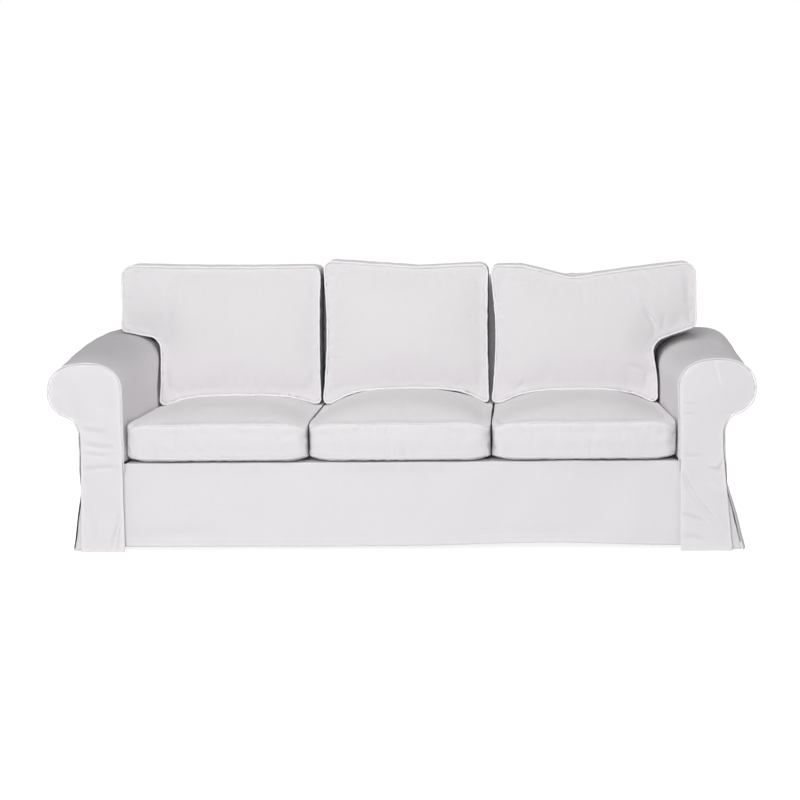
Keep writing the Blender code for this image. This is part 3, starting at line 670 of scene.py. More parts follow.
def side_point(arm, station, drop):
    """A point of the outer side, at a share of the way from the neck down to the floor."""
    z = underside(arm, station)[0] * (1 - drop)
    free = max(0.0, 1 - z / SLIT_TOP_Z)
    wave = SIDE_WAVE_DEPTH * free * math.sin(2 * math.pi * SIDE_WAVES * station)
    opening = SLIT_OPENING["bays"] * free
    from_slit = max(0.0, 1 - SLIT_BAYS * min(station, 1 - station)) * min(1.0, opening)
    setback = SLIT_SETBACK * from_slit * (station < 0.5)
    at_rear_seam = max(0.0, 1 - SLIT_BAYS * (1 - station))
    sewn = at_rear_seam * (1 - min(1.0, max(0.0, opening - SLIT_OPENING["from"])))
    proud = SIDE_PROUD + (SIDE_PROUD_SEWN - SIDE_PROUD) * sewn
    x = outer_side(arm, station, z) + proud + skirt_flare(arm, station, z) + wave
    y = ROLL_FRONT_Y + setback + (ROLL_REAR_Y - ROLL_FRONT_Y) * station
    return arm["side"] * (x - SIDE_CORNER_TUCK * from_slit), y, z


for label, arm in ARMS.items():
    drops = np.linspace(0, 1, int(roll_section(arm, 0.5)[1] / SIDE_STEP))
    stations = np.linspace(0, 1, SIDE_COLUMNS)
    grid = np.array([[side_point(arm, station, drop) for station in stations] for drop in drops])
    if arm["side"] < 0:
        grid = grid[:, ::-1]
    places = grid[..., [1, 2]]
    folds = uneven_relief(places, 0.19, 0.0016, seed=21) * np.clip(grid[..., 2] / 0.05, 0.6, 1)
    folds += pucker_relief(grid[..., 1], grid[0, :, 2] - grid[..., 2], seed=22) + hem_relief(grid[..., 2])
    grid += grid_normals(grid) * folds[..., None]
    grid[..., 2] = np.maximum(grid[..., 2], 0.0)
    side = cloth_panel(f"outer_side_{label}", grid, cotton)
    sewn_into_place(side, "white_cotton", f"arm_side_{label}")
    seam_lines.append(hem_stitch_line(grid, grid_normals(grid)))


# ---- The back panels of the arms -------------------------------------------------------------------
# The same cut as the front panels, plain and unpiped, where the arms meet the outside of the back.

for label, arm in ARMS.items():
    grid, shares = arm_face_grid(arm, 1.0, REAR_Y - CAD_CLOTH, columns=30)
    if arm["side"] > 0:
        grid = grid[:, ::-1]
    places = grid[..., [0, 2]]
    folds = uneven_relief(places, 0.13, 0.0008, seed=31)
    grid[..., 1] += folds + hem_relief(grid[..., 2])
    panel = cloth_panel(f"rear_panel_{label}", grid, cotton)
    sewn_into_place(panel, "white_cotton", f"arm_back_{label}")
    seam_lines.append(hem_stitch_line(grid, (0, 1, 0)))


# ---- The front skirt -------------------------------------------------------------------------------
# One long panel under the seat, joined to the deck by a seam that stands up as a soft ridge, and hemmed a
# little above the floor. The hem rises towards the right, as it hangs in the photo.

SKIRT_Y = -0.420
SKIRT_HALF_WIDTH = 0.860
SKIRT_TOP_Z = 0.2745
SKIRT_HEM_Z = 0.014
SKIRT_RISE = {"x": 0.45, "width": 0.28, "height": 0.010}
SKIRT_COLUMNS = 240
SKIRT_ROWS = 52
SKIRT_RIDGE = {"half": 0.0035, "height": 0.0022}
SKIRT_HELD = 0.02
SKIRT_CREASES = (
    ((-0.845, 0.030), (-0.730, 0.062), (-0.560, 0.060), 22, -4.0),
    ((-0.300, 0.020), (-0.280, 0.130), (-0.250, 0.250), 60, 4.0),
    ((0.300, 0.020), (0.310, 0.130), (0.330, 0.250), 60, -4.0),
    ((0.700, 0.020), (0.715, 0.130), (0.720, 0.250), 50, 4.0),
    ((-0.850, 0.100), (-0.838, 0.180), (-0.845, 0.250), 16, -2.5),
    ((0.250, 0.055), (0.420, 0.062), (0.560, 0.045), 16, -2.0),
)

across = np.linspace(-SKIRT_HALF_WIDTH, SKIRT_HALF_WIDTH, SKIRT_COLUMNS)
hem_heights = SKIRT_HEM_Z + SKIRT_RISE["height"] * np.exp(
    -(((across - SKIRT_RISE["x"]) / SKIRT_RISE["width"]) ** 2)
)
shares = np.linspace(0, 1, SKIRT_ROWS)[:, None]
heights = SKIRT_TOP_Z + (hem_heights - SKIRT_TOP_Z) * shares
grid = np.stack([np.broadcast_to(across, heights.shape), np.full_like(heights, SKIRT_Y), heights], axis=2)
below_top = SKIRT_TOP_Z - heights
places = grid[..., [0, 2]]
folds = crease_relief(places, SKIRT_CREASES) + uneven_relief(places, 0.22, 0.0012, seed=41)
folds *= 1 - np.exp(-below_top / SKIRT_HELD)
folds += hem_relief(heights - hem_heights) + pucker_relief(grid[..., 0], below_top, seed=42)
folds += SKIRT_RIDGE["height"] * np.exp(-((below_top / SKIRT_RIDGE["half"]) ** 2))
grid[..., 1] -= folds
skirt = cloth_panel("front_skirt_cloth", grid, cotton)
sewn_into_place(skirt, "white_cotton", "front_skirt")
stitched = np.abs(shares[:, 0] - (1 - HEM_DEPTH / (SKIRT_TOP_Z - SKIRT_HEM_Z))).argmin()
seam_lines.append(grid[stitched] - (0, COTTON_THICKNESS / 2, 0))


# ---- The seat deck ---------------------------------------------------------------------------------
# A flat panel under the seat cushions, seen only as the thin edge below them.

DECK_Z = 0.273
DECK_REAR_Y = 0.204
DECK_HALF_WIDTH = 0.850
DECK_LIP = 0.003
DECK_ROWS = 40
DECK_COLUMNS = 100

rows = []
for y in np.linspace(DECK_REAR_Y, SKIRT_Y - DECK_LIP, DECK_ROWS):
    station = (y - FRONT_Y) / (REAR_Y - FRONT_Y)
    left, right = (arm["side"] * (DECK_HALF_WIDTH - toe_in(arm, station)) for arm in ARMS.values())
    rows.append([(x, y, DECK_Z) for x in np.linspace(left, right, DECK_COLUMNS)])
grid = np.array(rows)
grid[..., 2] += uneven_relief(grid[..., :2], 0.2, 0.0005, seed=51)
deck = cloth_panel("deck_cloth", grid, cotton)
sewn_into_place(deck, "white_cotton", "seat_deck")


# ---- The back --------------------------------------------------------------------------------------
# The inside panel runs from the deck up behind the cushions and over the top edge. The outside panel hangs
# from the top seam straight to the floor. A narrow strip closes each end above the arm. Below the rolls
# both panels stand between the arms, and above them they are wider.

BACK_HALF_WIDTH = 0.930
BACK_TOP_Z = 0.800
BACK_FOOT = (0.215, 0.283)
BACK_LEAN = 0.168
BACK_EDGE_RADIUS = 0.018
BACK_TOP_SAG = 0.003
BACK_TOP_SPAN = 0.12
BACK_TOP_STEP = 0.008
BACK_HELD = 0.03
BACK_END_ROWS = 24
BACK_END_COLUMNS = 14
BACK_STATION = 0.83
BACK_CLEARANCE = 0.003
BACK_COLUMNS = 118
BACK_STEP = 0.010
BACK_WAVES = 4
BACK_WAVE_DEPTH = 0.004
BACK_WAVE_TOP_Z = 0.30
BACK_PULLS = (
    ((-0.90, 0.780), (-0.70, 0.700), (-0.62, 0.560), 26, -3.0),
    ((0.90, 0.780), (0.72, 0.690), (0.60, 0.540), 26, -3.0),
    ((-0.30, 0.160), (-0.26, 0.340), (-0.34, 0.520), 34, -2.5),
    ((0.38, 0.180), (0.34, 0.330), (0.40, 0.480), 34, -2.5),
)


def back_line(z):
    """How far back the leaning inside of the back lies at a height."""
    return BACK_FOOT[0] + BACK_LEAN * (z - BACK_FOOT[1])


def back_row(y, z, station):
    """One row of a back panel, between the arms below their rolls and over the rolls above."""
    ends = []
    for arm in ARMS.values():
        _, centre_z, _, _, half_height = roll_section(arm, station)
        over = z > centre_z + half_height + BACK_CLEARANCE
        reach = inner_side(arm, station, z - BACK_CLEARANCE) - BACK_CLEARANCE
        ends.append(arm["side"] * (BACK_HALF_WIDTH if over else min(BACK_HALF_WIDTH, reach)))
    return [(x, y, z) for x in np.linspace(ends[0], ends[1], BACK_COLUMNS)]


turn_z = BACK_TOP_Z - BACK_EDGE_RADIUS
turn_y = back_line(turn_z) + BACK_EDGE_RADIUS
depths = np.arange(0, REAR_Y - CAD_CLOTH - turn_y, BACK_TOP_STEP)
sags = BACK_TOP_SAG * np.sin(np.pi * depths / BACK_TOP_SPAN)
profile = [(REAR_Y - CAD_CLOTH - depth, BACK_TOP_Z - sag) for depth, sag in zip(depths, sags)]
profile += [(turn_y - BACK_EDGE_RADIUS * math.sin(turn), turn_z + BACK_EDGE_RADIUS * math.cos(turn))
            for turn in np.linspace(0, math.pi / 2, 8)]
profile += [(back_line(z), z) for z in np.arange(turn_z - BACK_STEP, BACK_FOOT[1], -BACK_STEP)]
grid = np.array([back_row(y, z, BACK_STATION) for y, z in profile])
round_top = running_length(grid, 0)
places = np.stack([grid[..., 0], round_top], axis=2)
folds = uneven_relief(places, 0.2, 0.0009, seed=61) * np.clip(round_top / 0.02, 0, 1)
folds += pucker_relief(grid[..., 0], round_top, seed=62)
grid += grid_normals(grid) * folds[..., None]
inside = cloth_panel("inside_back_cloth", grid, cotton)
sewn_into_place(inside, "white_cotton", "inside_back")

rows = []
for z in [*np.arange(BACK_TOP_Z - 0.001, BACK_STEP / 2, -BACK_STEP), 0.0]:
    free = max(0.0, 1 - z / BACK_WAVE_TOP_Z)
    row = back_row(REAR_Y - CAD_CLOTH, z, 1.0)
    span = row[-1][0] - row[0][0]
    rows.append([
        (x, y + BACK_WAVE_DEPTH * free * math.sin(2 * math.pi * BACK_WAVES * (x - row[0][0]) / span), z)
        for x, y, _ in row
    ])
grid = np.array(rows)[:, ::-1]
places = grid[..., [0, 2]]
folds = crease_relief(places, BACK_PULLS) + uneven_relief(places, 0.24, 0.0014, seed=63)
folds *= 1 - np.exp(-(BACK_TOP_Z - grid[..., 2]) / BACK_HELD)
folds += hem_relief(grid[..., 2]) + pucker_relief(grid[..., 0], BACK_TOP_Z - grid[..., 2], seed=64)
grid[..., 1] += folds
outside = cloth_panel("outside_back_cloth", grid, cotton)
sewn_into_place(outside, "white_cotton", "outside_back")
seam_lines.append(hem_stitch_line(grid, (0, 1, 0)))

for label, arm in ARMS.items():
    end_x = BACK_HALF_WIDTH + COTTON_THICKNESS / 2
    tops = []
    for station in (BACK_STATION, 1.0):
        centre_x, centre_z, inner_half, _, half_height = roll_section(arm, station)
        over_roll = (1 - ((centre_x - end_x) / inner_half) ** ROLL_POWER) ** (1 / ROLL_POWER)
        tops.append(centre_z + half_height * over_roll)
    foot = max(tops) + BACK_CLEARANCE
    rows = []
    for z in np.linspace(BACK_TOP_Z - 0.002, foot, BACK_END_ROWS):
        into_turn = max(0.0, z - turn_z) / BACK_EDGE_RADIUS
        front = back_line(z) + BACK_EDGE_RADIUS * (1 - math.sqrt(max(0.0, 1 - into_turn**2)))
        depths = np.linspace(front, REAR_Y - CAD_CLOTH, BACK_END_COLUMNS)
        rows.append([(arm["side"] * end_x, y, z) for y in depths])
    grid = np.array(rows)
    if arm["side"] < 0:
        grid = grid[:, ::-1]
    grid[..., 0] += arm["side"] * uneven_relief(grid[..., 1:], 0.08, 0.0006, seed=65)
    strip = cloth_panel(f"back_end_{label}", grid, cotton)
    sewn_into_place(strip, "white_cotton", f"back_side_{label}")


# ---- The kick pleats -------------------------------------------------------------------------------
# A folded strip of the cotton is sewn behind each open slit at the corners, so that the slit shows cloth
# and not the hollow. It turns the corner and hangs just clear of the floor.

PLEAT_FOOT_Z = 0.004
PLEAT_WIDTH = 0.045
PLEAT_DEPTH = 0.060
PLEAT_GAP = 0.006
PLEAT_SETBACK = 0.012
PLEAT_SKEWS = {"inner": 0.004, "middle": 0.003, "end": 0.010}
PLEAT_FOLD = 0.003
PLEAT_ROWS = 36
PLEAT_COLUMNS = 22

for label, arm in ARMS.items():
    for corner, station, end in (("front", 0.0, -1), ("back", 1.0, 1)):
        rows = []
        for z in np.linspace(SLIT_TOP_Z, PLEAT_FOOT_Z, PLEAT_ROWS):
            flare = skirt_flare(arm, station, z)
            outer = outer_side(arm, station, z) + flare - PLEAT_GAP
            y = (FRONT_Y if end < 0 else REAR_Y) - end * PLEAT_SETBACK
            turned = (
                (outer - PLEAT_WIDTH - flare, PLEAT_SKEWS["inner"]),
                (outer - 0.5 * PLEAT_WIDTH, 0.0),
                (outer - PLEAT_FOLD, 0.0),
                (outer, PLEAT_FOLD),
                (outer - PLEAT_SKEWS["middle"], 0.5 * PLEAT_DEPTH),
                (outer - PLEAT_SKEWS["end"], PLEAT_DEPTH),
            )
            section = [(arm["side"] * x, y - end * inwards, z) for x, inwards in turned]
            rows.append(resampled(section, PLEAT_COLUMNS))
        grid = np.array(rows)
        if arm["side"] * end > 0:
            grid = grid[:, ::-1]
        folds = uneven_relief(grid[..., [0, 2]], 0.07, 0.0010, seed=71)
        folds = folds * (SLIT_TOP_Z - grid[..., 2]) / SLIT_TOP_Z
        grid += grid_normals(grid) * (folds + hem_relief(grid[..., 2] - PLEAT_FOOT_Z))[..., None]
        pleat = cloth_panel(f"kick_pleat_{corner}_{label}", grid, cotton)
        sewn_into_place(pleat, "white_cotton", f"pleat_{corner}_{label}")


# ---- The piping round the arms' fronts --------------------------------------------------------------
# A soft cord wrapped in a bias-cut strip of the same cotton, sewn into the seam between each front panel
# and the cloth over the arm. It starts and ends where the panel hangs free, above the hem.

PIPING_OFFSET = 0.0033
PIPING_RADIUS = 0.0027
PIPING_REACH = PIPING_OFFSET * math.sqrt(0.5) + PIPING_RADIUS
PIPING_COVER_RADIUS = 0.0033
PIPING_PITCH = 0.006
PIPING_WOBBLE = 0.0011
PIPING_SWELL = 0.16
PIPING_SIDES = 10
PIPING_SINK = 0.0003
PIPING_POINTS = 180
# Painted highlight: the back cushions' piping is drawn whiter than the cloth it is cut from.
PIPING_PAINTED_HIGHLIGHT = "#FCFBFC"
PIPING_WORN_AND_HIGHLIGHT = "#FFFFFF"
ARM_PIPING = {"radius": 0.0023, "shade": "#EDEAEC", "worn": "#F3F1F3"}


def made_along(name, paths, tree, sizes):
    """The plain mesh of what a Geometry Nodes tree makes along paths of points."""
    edges = []
    start = 0
    for path in paths:
        edges += [(i, i + 1) for i in range(start, start + len(path) - 1)]
        start += len(path)
    route = bpy.data.meshes.new(name)
    route.from_pydata(np.concatenate(paths).tolist(), edges, [])
    piece = bpy.data.objects.new(name, route)
    bpy.context.scene.collection.objects.link(piece)
    maker = piece.modifiers.new("maker", "NODES")
    maker.node_group = tree
    sockets = {item.name: item.identifier for item in tree.interface.items_tree}
    for size, value in sizes.items():
        maker[sockets[size]] = value
    graph = bpy.context.evaluated_depsgraph_get()
    made = bpy.data.meshes.new_from_object(
        piece.evaluated_get(graph), preserve_all_data_layers=True, depsgraph=graph,
    )
    piece.modifiers.clear()
    piece.data = made
    return piece


def piping_tree():
    """Runs a round section of a slightly uneven width along a path that wanders a little, as sewn piping
    does, and maps its strip of cloth in metres round and along it."""
    tree = bpy.data.node_groups.new("sewn_piping", "GeometryNodeTree")
    tree.interface.new_socket("path", in_out="INPUT", socket_type="NodeSocketGeometry")
    for size in ("radius", "pitch", "wobble", "swell", "seed"):
        tree.interface.new_socket(size, in_out="INPUT", socket_type="NodeSocketFloat")
    tree.interface.new_socket("covering", in_out="INPUT", socket_type="NodeSocketMaterial")
    tree.interface.new_socket("piping", in_out="OUTPUT", socket_type="NodeSocketGeometry")
    given = add_node(tree, "NodeGroupInput").outputs
    line = add_node(tree, "GeometryNodeMeshToCurve", {"Mesh": given["path"]})
    even = add_node(tree, "GeometryNodeResampleCurve", {
        0: line.outputs[0], "Length": given["pitch"],
    }, mode="LENGTH")
    measured = add_node(tree, "GeometryNodeStoreNamedAttribute", {
        0: even.outputs[0], "Name": "along",
        "Value": add_node(tree, "GeometryNodeSplineParameter").outputs["Length"],
    }, data_type="FLOAT", domain="POINT")

    wander = add_node(tree, "ShaderNodeTexNoise", {
        "Vector": add_node(tree, "GeometryNodeInputPosition").outputs[0], "W": given["seed"],
        "Scale": 26.0, "Detail": 2.0,
    }, noise_dimensions="4D")
    centred = add_node(tree, "ShaderNodeVectorMath", {
        0: wander.outputs[1], 1: (0.5, 0.5, 0.5),
    }, operation="SUBTRACT")
    double_wobble = add_node(tree, "ShaderNodeMath", {0: given["wobble"], 1: 4.0}, operation="MULTIPLY")
    shift = add_node(tree, "ShaderNodeVectorMath", {
        0: centred.outputs[0], "Scale": double_wobble.outputs[0],
    }, operation="SCALE")
    moved = add_node(tree, "GeometryNodeSetPosition", {0: measured.outputs[0], "Offset": shift.outputs[0]})

    lumps = add_node(tree, "ShaderNodeTexNoise", {
        "Vector": add_node(tree, "GeometryNodeInputPosition").outputs[0], "W": given["seed"],
        "Scale": 90.0, "Detail": 1.0,
    }, noise_dimensions="4D")
    least = add_node(tree, "ShaderNodeMath", {0: 1.0, 1: given["swell"]}, operation="SUBTRACT")
    most = add_node(tree, "ShaderNodeMath", {0: 1.0, 1: given["swell"]}, operation="ADD")
    width = add_node(tree, "ShaderNodeMapRange", {
        "Value": lumps.outputs[0], "From Min": 0.3, "From Max": 0.7,
        "To Min": least.outputs[0], "To Max": most.outputs[0],
    })
    ring = add_node(tree, "GeometryNodeCurvePrimitiveCircle", {
        "Resolution": PIPING_SIDES, "Radius": given["radius"],
    })
    around = add_node(tree, "GeometryNodeStoreNamedAttribute", {
        0: ring.outputs[0], "Name": "around",
        "Value": add_node(tree, "GeometryNodeSplineParameter").outputs["Length"],
    }, data_type="FLOAT", domain="POINT")
    tube = add_node(tree, "GeometryNodeCurveToMesh", {
        "Curve": moved.outputs[0], "Profile Curve": around.outputs[0],
        "Scale": width.outputs[0], "Fill Caps": True,
    })
    strip = add_node(tree, "ShaderNodeCombineXYZ", {
        axis: add_node(tree, "GeometryNodeInputNamedAttribute", {"Name": way}, data_type="FLOAT").outputs[0]
        for axis, way in enumerate(("around", "along"))
    })
    mapped = add_node(tree, "GeometryNodeStoreNamedAttribute", {
        0: tube.outputs[0], "Name": "cut", "Value": strip.outputs[0],
    }, data_type="FLOAT2", domain="CORNER")
    smooth = add_node(tree, "GeometryNodeSetShadeSmooth", {0: mapped.outputs[0]})
    whole = add_node(tree, "GeometryNodeRealizeInstances", {0: smooth.outputs[0]})
    covered = add_node(tree, "GeometryNodeSetMaterial", {0: whole.outputs[0], "Material": given["covering"]})
    add_node(tree, "NodeGroupOutput", {0: covered.outputs[0]})
    return tree


piping_maker = piping_tree()
# The back cushions' piping, whiter than the cloth: a painted highlight.
piping_cotton = woven_cotton(
    "bias_cut_cotton_piping", PIPING_PAINTED_HIGHLIGHT, PIPING_WORN_AND_HIGHLIGHT, THREAD_MM, bias=math.pi / 4,
)
piping_sizes = {
    "radius": PIPING_COVER_RADIUS, "pitch": PIPING_PITCH, "wobble": PIPING_WOBBLE, "swell": PIPING_SWELL,
    "covering": piping_cotton,
}
arm_piping_cotton = woven_cotton(
    "bias_cut_cotton_arm_piping", ARM_PIPING["shade"], ARM_PIPING["worn"], THREAD_MM, bias=math.pi / 4,
)
arm_piping_sizes = {"radius": ARM_PIPING["radius"], "covering": arm_piping_cotton}


def edge_normals(outline, closed=True):
    """The unit normal on the left of an outline, at each of its points."""
    ahead = np.roll(outline, -1, axis=0) - np.roll(outline, 1, axis=0)
    if not closed:
        ahead[0] = outline[1] - outline[0]
        ahead[-1] = outline[-1] - outline[-2]
    ahead = ahead / np.linalg.norm(ahead, axis=1, keepdims=True)
    return np.stack([-ahead[:, 1], ahead[:, 0]], axis=1)


for label, arm in ARMS.items():
    heights = [z for z in face_heights(arm, 0.0) if z >= PIPING_END_Z]
    section = [(inner_side(arm, 0.0, z), z) for z in reversed(heights)]
    section += [(outer_side(arm, 0.0, z), z) for z in heights]
    section = resampled(section, PIPING_POINTS)
    path = section + edge_normals(section, closed=False) * (PIPING_OFFSET + CAD_CLOTH / 2)
    depth = np.full(len(path), FRONT_Y - PIPING_SINK)
    route = np.stack([arm["side"] * path[:, 0], depth, path[:, 1]], axis=1)
    piping = made_along(
        f"arm_front_piping_{label}", [route], piping_maker,
        {**piping_sizes, **arm_piping_sizes, "seed": 1.0 + arm["side"]},
    )
    sewn_into_place(piping, "white_piping", f"arm_piping_{label}")


# ---- The seat cushions -----------------------------------------------------------------------------
# Three filled box cushions lie side by side on the deck. Each cover is a top panel, a boxing band and a
# bottom panel, joined round piping. The filling crowns the top, and the seams draw it in at the edges.

SEAT_FRONT_Y = -0.428
SEAT_REAR_Y = 0.190
SEAT_BASE_Z = 0.287
SEAT_EDGE_Z = 0.3965
SEAT_CORNER = 0.035
SEAT_SIDE_BOW = -0.002
SEAT_UNDER_CROWN = 0.020
SEATS = {
    "left": {"front": (-0.844, -0.280), "rear": (-0.822, -0.280), "crown": 0.040, "front_bow": 0.006},
    "middle": {"front": (-0.277, 0.281), "rear": (-0.277, 0.281), "crown": 0.061, "front_bow": 0.010},
    "right": {"front": (0.284, 0.843), "rear": (0.284, 0.812), "crown": 0.053, "front_bow": 0.008},
}
SEAT_CREASES = {
    "left": (
        ((-0.835, 0.350), (-0.790, 0.338), (-0.720, 0.345), 9, -1.6),
        ((-0.300, 0.380), (-0.330, 0.352), (-0.390, 0.345), 9, -1.4),
    ),
    "middle": (
        ((-0.262, 0.375), (-0.230, 0.350), (-0.170, 0.345), 9, -1.5),
        ((0.262, 0.370), (0.225, 0.345), (0.160, 0.340), 9, -1.4),
    ),
    "right": (
        ((0.480, 0.368), (0.560, 0.362), (0.655, 0.366), 7, -1.8),
        ((0.835, 0.370), (0.800, 0.350), (0.745, 0.345), 9, -1.6),
    ),
}
CORNER_STEPS = 8
OUTLINE_STEP = 0.008
CROWN_REACH = 0.046
UNDER_REACH = 0.012
BAND_BULGE = 0.0055
FACE_RINGS = (0.0, 0.18, 0.36, 0.52, 0.66, 0.77, 0.86, 0.92, 0.95, 0.97, 0.985, 1.0)
BAND_ROWS = (0.15, 0.32, 0.5, 0.68, 0.85)
FILL_SHARE = 0.86
VOXEL = 0.010
HELD_AT_SEAM = (0.007, 0.020)
HELD_STEPS = 10
SIM_FRAMES = 14
SIM_PRESSURE = 4.0
SIM_GROWTH = -0.012
FACE_CAP = 0.024
BAND_CAP = 0.003
SEAM_PUCKER = {"pitch": 0.017, "reach": 0.022, "height": 0.0011, "patch": 0.31, "flat": 0.004}
PIPED_RUB = 0.8
SEAM_JOIN = 60
SEAT_PIPING = {"clearance": 0.0008, "reach": 0.014, "radius": 0.0024, "shade": "#EFECEE", "worn": "#F3F1F3"}
SHADED_BAND = 0.75  # the photo's shade on sides that face a neighbour, put in the cloth
BETWEEN_CUSHIONS_X = 0.32
COVER_GAP = 0.0004
SEAT_LIMIT = {"sides_in": 0.0007, "front_out": 0.020, "rear_in": 0.001, "deck_up": 0.003, "top_in": 0.001}
BACK_BASE_Z = 0.400
LIFT_LOSS = 0.0055
CONTACT_Y = 0.02
FOOT_PRESS = {"from_y": 0.012, "slope": 0.30, "clearance": 0.0022}
SOFT_CORNER = {"reach": 0.036, "drop": 0.017, "rise": 0.008}

seat_piping_cotton = woven_cotton(
    "bias_cut_cotton_seat_piping", SEAT_PIPING["shade"], SEAT_PIPING["worn"], THREAD_MM, bias=math.pi / 4,
)
seat_piping_sizes = {"radius": SEAT_PIPING["radius"], "covering": seat_piping_cotton}


def rounded_outline(corners):
    """A closed anticlockwise outline with rounded corners and edges that bow, inset by the piping. Each
    corner is x, height, radius and the bow of the edge after it."""
    places = np.array([corner[:2] for corner in corners])
    count = len(places)
    arcs = []
    for i, corner in enumerate(places):
        back, ahead = places[i - 1] - corner, places[(i + 1) % count] - corner
        back, ahead = back / np.linalg.norm(back), ahead / np.linalg.norm(ahead)
        radius, half = corners[i][2], math.acos(np.clip(back @ ahead, -1, 1)) / 2
        centre = corner + (back + ahead) / np.linalg.norm(back + ahead) * radius / math.sin(half)
        spoke = corner + back * radius / math.tan(half) - centre
        turning = 1 if back[0] * ahead[1] < back[1] * ahead[0] else -1
        turns = turning * (math.pi - 2 * half) * np.linspace(0, 1, CORNER_STEPS + 1)
        arcs.append(centre + np.stack([
            spoke[0] * np.cos(turns) - spoke[1] * np.sin(turns),
            spoke[0] * np.sin(turns) + spoke[1] * np.cos(turns),
        ], axis=1))
    outline = []
    for i, arc in enumerate(arcs):
        edge = arcs[(i + 1) % count][0] - arc[-1]
        length = np.linalg.norm(edge)
        steps = max(2, round(length / OUTLINE_STEP))
        shares = np.arange(1, steps)[:, None] / steps
        out = np.array((edge[1], -edge[0])) / length
        outline += [arc, arc[-1] + edge * shares + out * corners[i][3] * np.sin(np.pi * shares)]
    outline = np.concatenate(outline)
    outline = resampled([*outline, outline[0]], round(len(outline) * 0.9))[:-1]
    return outline + edge_normals(outline) * PIPING_REACH


def crown_share(places, outline, fullness=CROWN_REACH):
    """The share of a cushion's full crown at places inside its outline: none at the seam, nearly all in the
    middle, and least in the corners, where two seams pull."""
    ends = np.roll(outline, -1, axis=0)
    lengths = np.linalg.norm(ends - outline, axis=1)
    middles = (outline + ends) / 2
    distance = np.linalg.norm(places[:, None] - middles, axis=2)
    pull = (lengths * np.exp(-distance / fullness)).sum(axis=1)
    return np.clip(1 - pull / (2 * fullness), 0, None)


def filled_cover(name, outline, middle, place, crowns, reaches=(CROWN_REACH, CROWN_REACH)):
    """A closed box cushion in rings, from the middle of its face, over the band, to the middle of its rear.
    place(points, depth, rise) puts points of the outline's plane in the world. The crown and the reach of
    its seams' pull are given for the face and for the rear."""
    rings = []
    sides = ((0.0, crowns[0], reaches[0], FACE_RINGS[1:]), (1.0, crowns[1], reaches[1], FACE_RINGS[:0:-1]))
    for depth, crown, reach, shares in sides:
        face = []
        for share in shares:
            points = middle + (outline - middle) * share
            face.append(place(points, depth, crown * crown_share(points, outline, reach) * (share < 1)))
        rings.append(face)
    band = []
    for depth in BAND_ROWS:
        bulge = edge_normals(outline) * BAND_BULGE * math.sin(math.pi * depth)
        band.append(place(outline - bulge, depth, 0.0))
    rows = [*rings[0], *band, *rings[1]]
    poles = [
        place(middle[None], depth, crown * crown_share(middle[None], outline))
        for depth, crown in ((0.0, crowns[0]), (1.0, crowns[1]))
    ]
    points = np.concatenate([*rows, *poles])
    count, last = len(outline), (len(rows) - 1) * len(outline)
    faces = []
    for i in range(count):
        after = (i + 1) % count
        for start in range(0, last, count):
            faces.append((start + i, start + count + i, start + count + after, start + after))
        faces.append((i, after, last + count))
        faces.append((last + after, last + i, last + count + 1))
    mesh = bpy.data.meshes.new(name)
    mesh.from_pydata(points.tolist(), [], faces)
    cover = bpy.data.objects.new(name, mesh)
    bpy.context.scene.collection.objects.link(cover)
    return cover


def edge_seam(outline, place, depth):
    """The line of the piping along one edge of a cushion, on the corner between its face and its band."""
    edge = place(outline, depth, 0.0)
    face = place(outline, depth, 0.001) - edge
    side = place(outline - edge_normals(outline) * 0.001, depth, 0.0) - edge
    along = np.roll(edge, -1, axis=0) - np.roll(edge, 1, axis=0)
    along /= np.linalg.norm(along, axis=1, keepdims=True)
    face -= along * (face * along).sum(axis=1, keepdims=True)
    face /= np.linalg.norm(face, axis=1, keepdims=True)
    side -= along * (side * along).sum(axis=1, keepdims=True)
    side -= face * (side * face).sum(axis=1, keepdims=True)
    side /= np.linalg.norm(side, axis=1, keepdims=True)
    outwards = face + side
    return edge + outwards / np.linalg.norm(outwards, axis=1, keepdims=True) * PIPING_OFFSET


def mesh_points(mesh, kind="co"):
    """The places (or normals) of a mesh's points, one row each."""
    if kind == "co":
        values = np.empty(len(mesh.vertices) * 3, np.float32)
        mesh.vertices.foreach_get("co", values)
    else:
        values = np.array([normal.vector for normal in mesh.vertex_normals], np.float32).ravel()
    return values.reshape(-1, 3).astype(float)


def set_points(mesh, points):
    """Moves a mesh's points to these places."""
    mesh.vertices.foreach_set("co", points.astype(np.float32).ravel())
    mesh.update()


def with_modifiers(piece):
    """Puts a piece's modifiers into its mesh."""
    graph = bpy.context.evaluated_depsgraph_get()
    made = bpy.data.meshes.new_from_object(piece.evaluated_get(graph), depsgraph=graph)
    piece.modifiers.clear()
    piece.data = made
    return made


def distance_to(points, line):
    """How far each point is from a closed line of points, and which of these is the nearest."""
    tree = KDTree(len(line))
    for i, place in enumerate(line):
        tree.insert(place, i)
    tree.balance()
    found = [tree.find(point) for point in points]
    return np.array([near[2] for near in found]), np.array([near[1] for near in found])


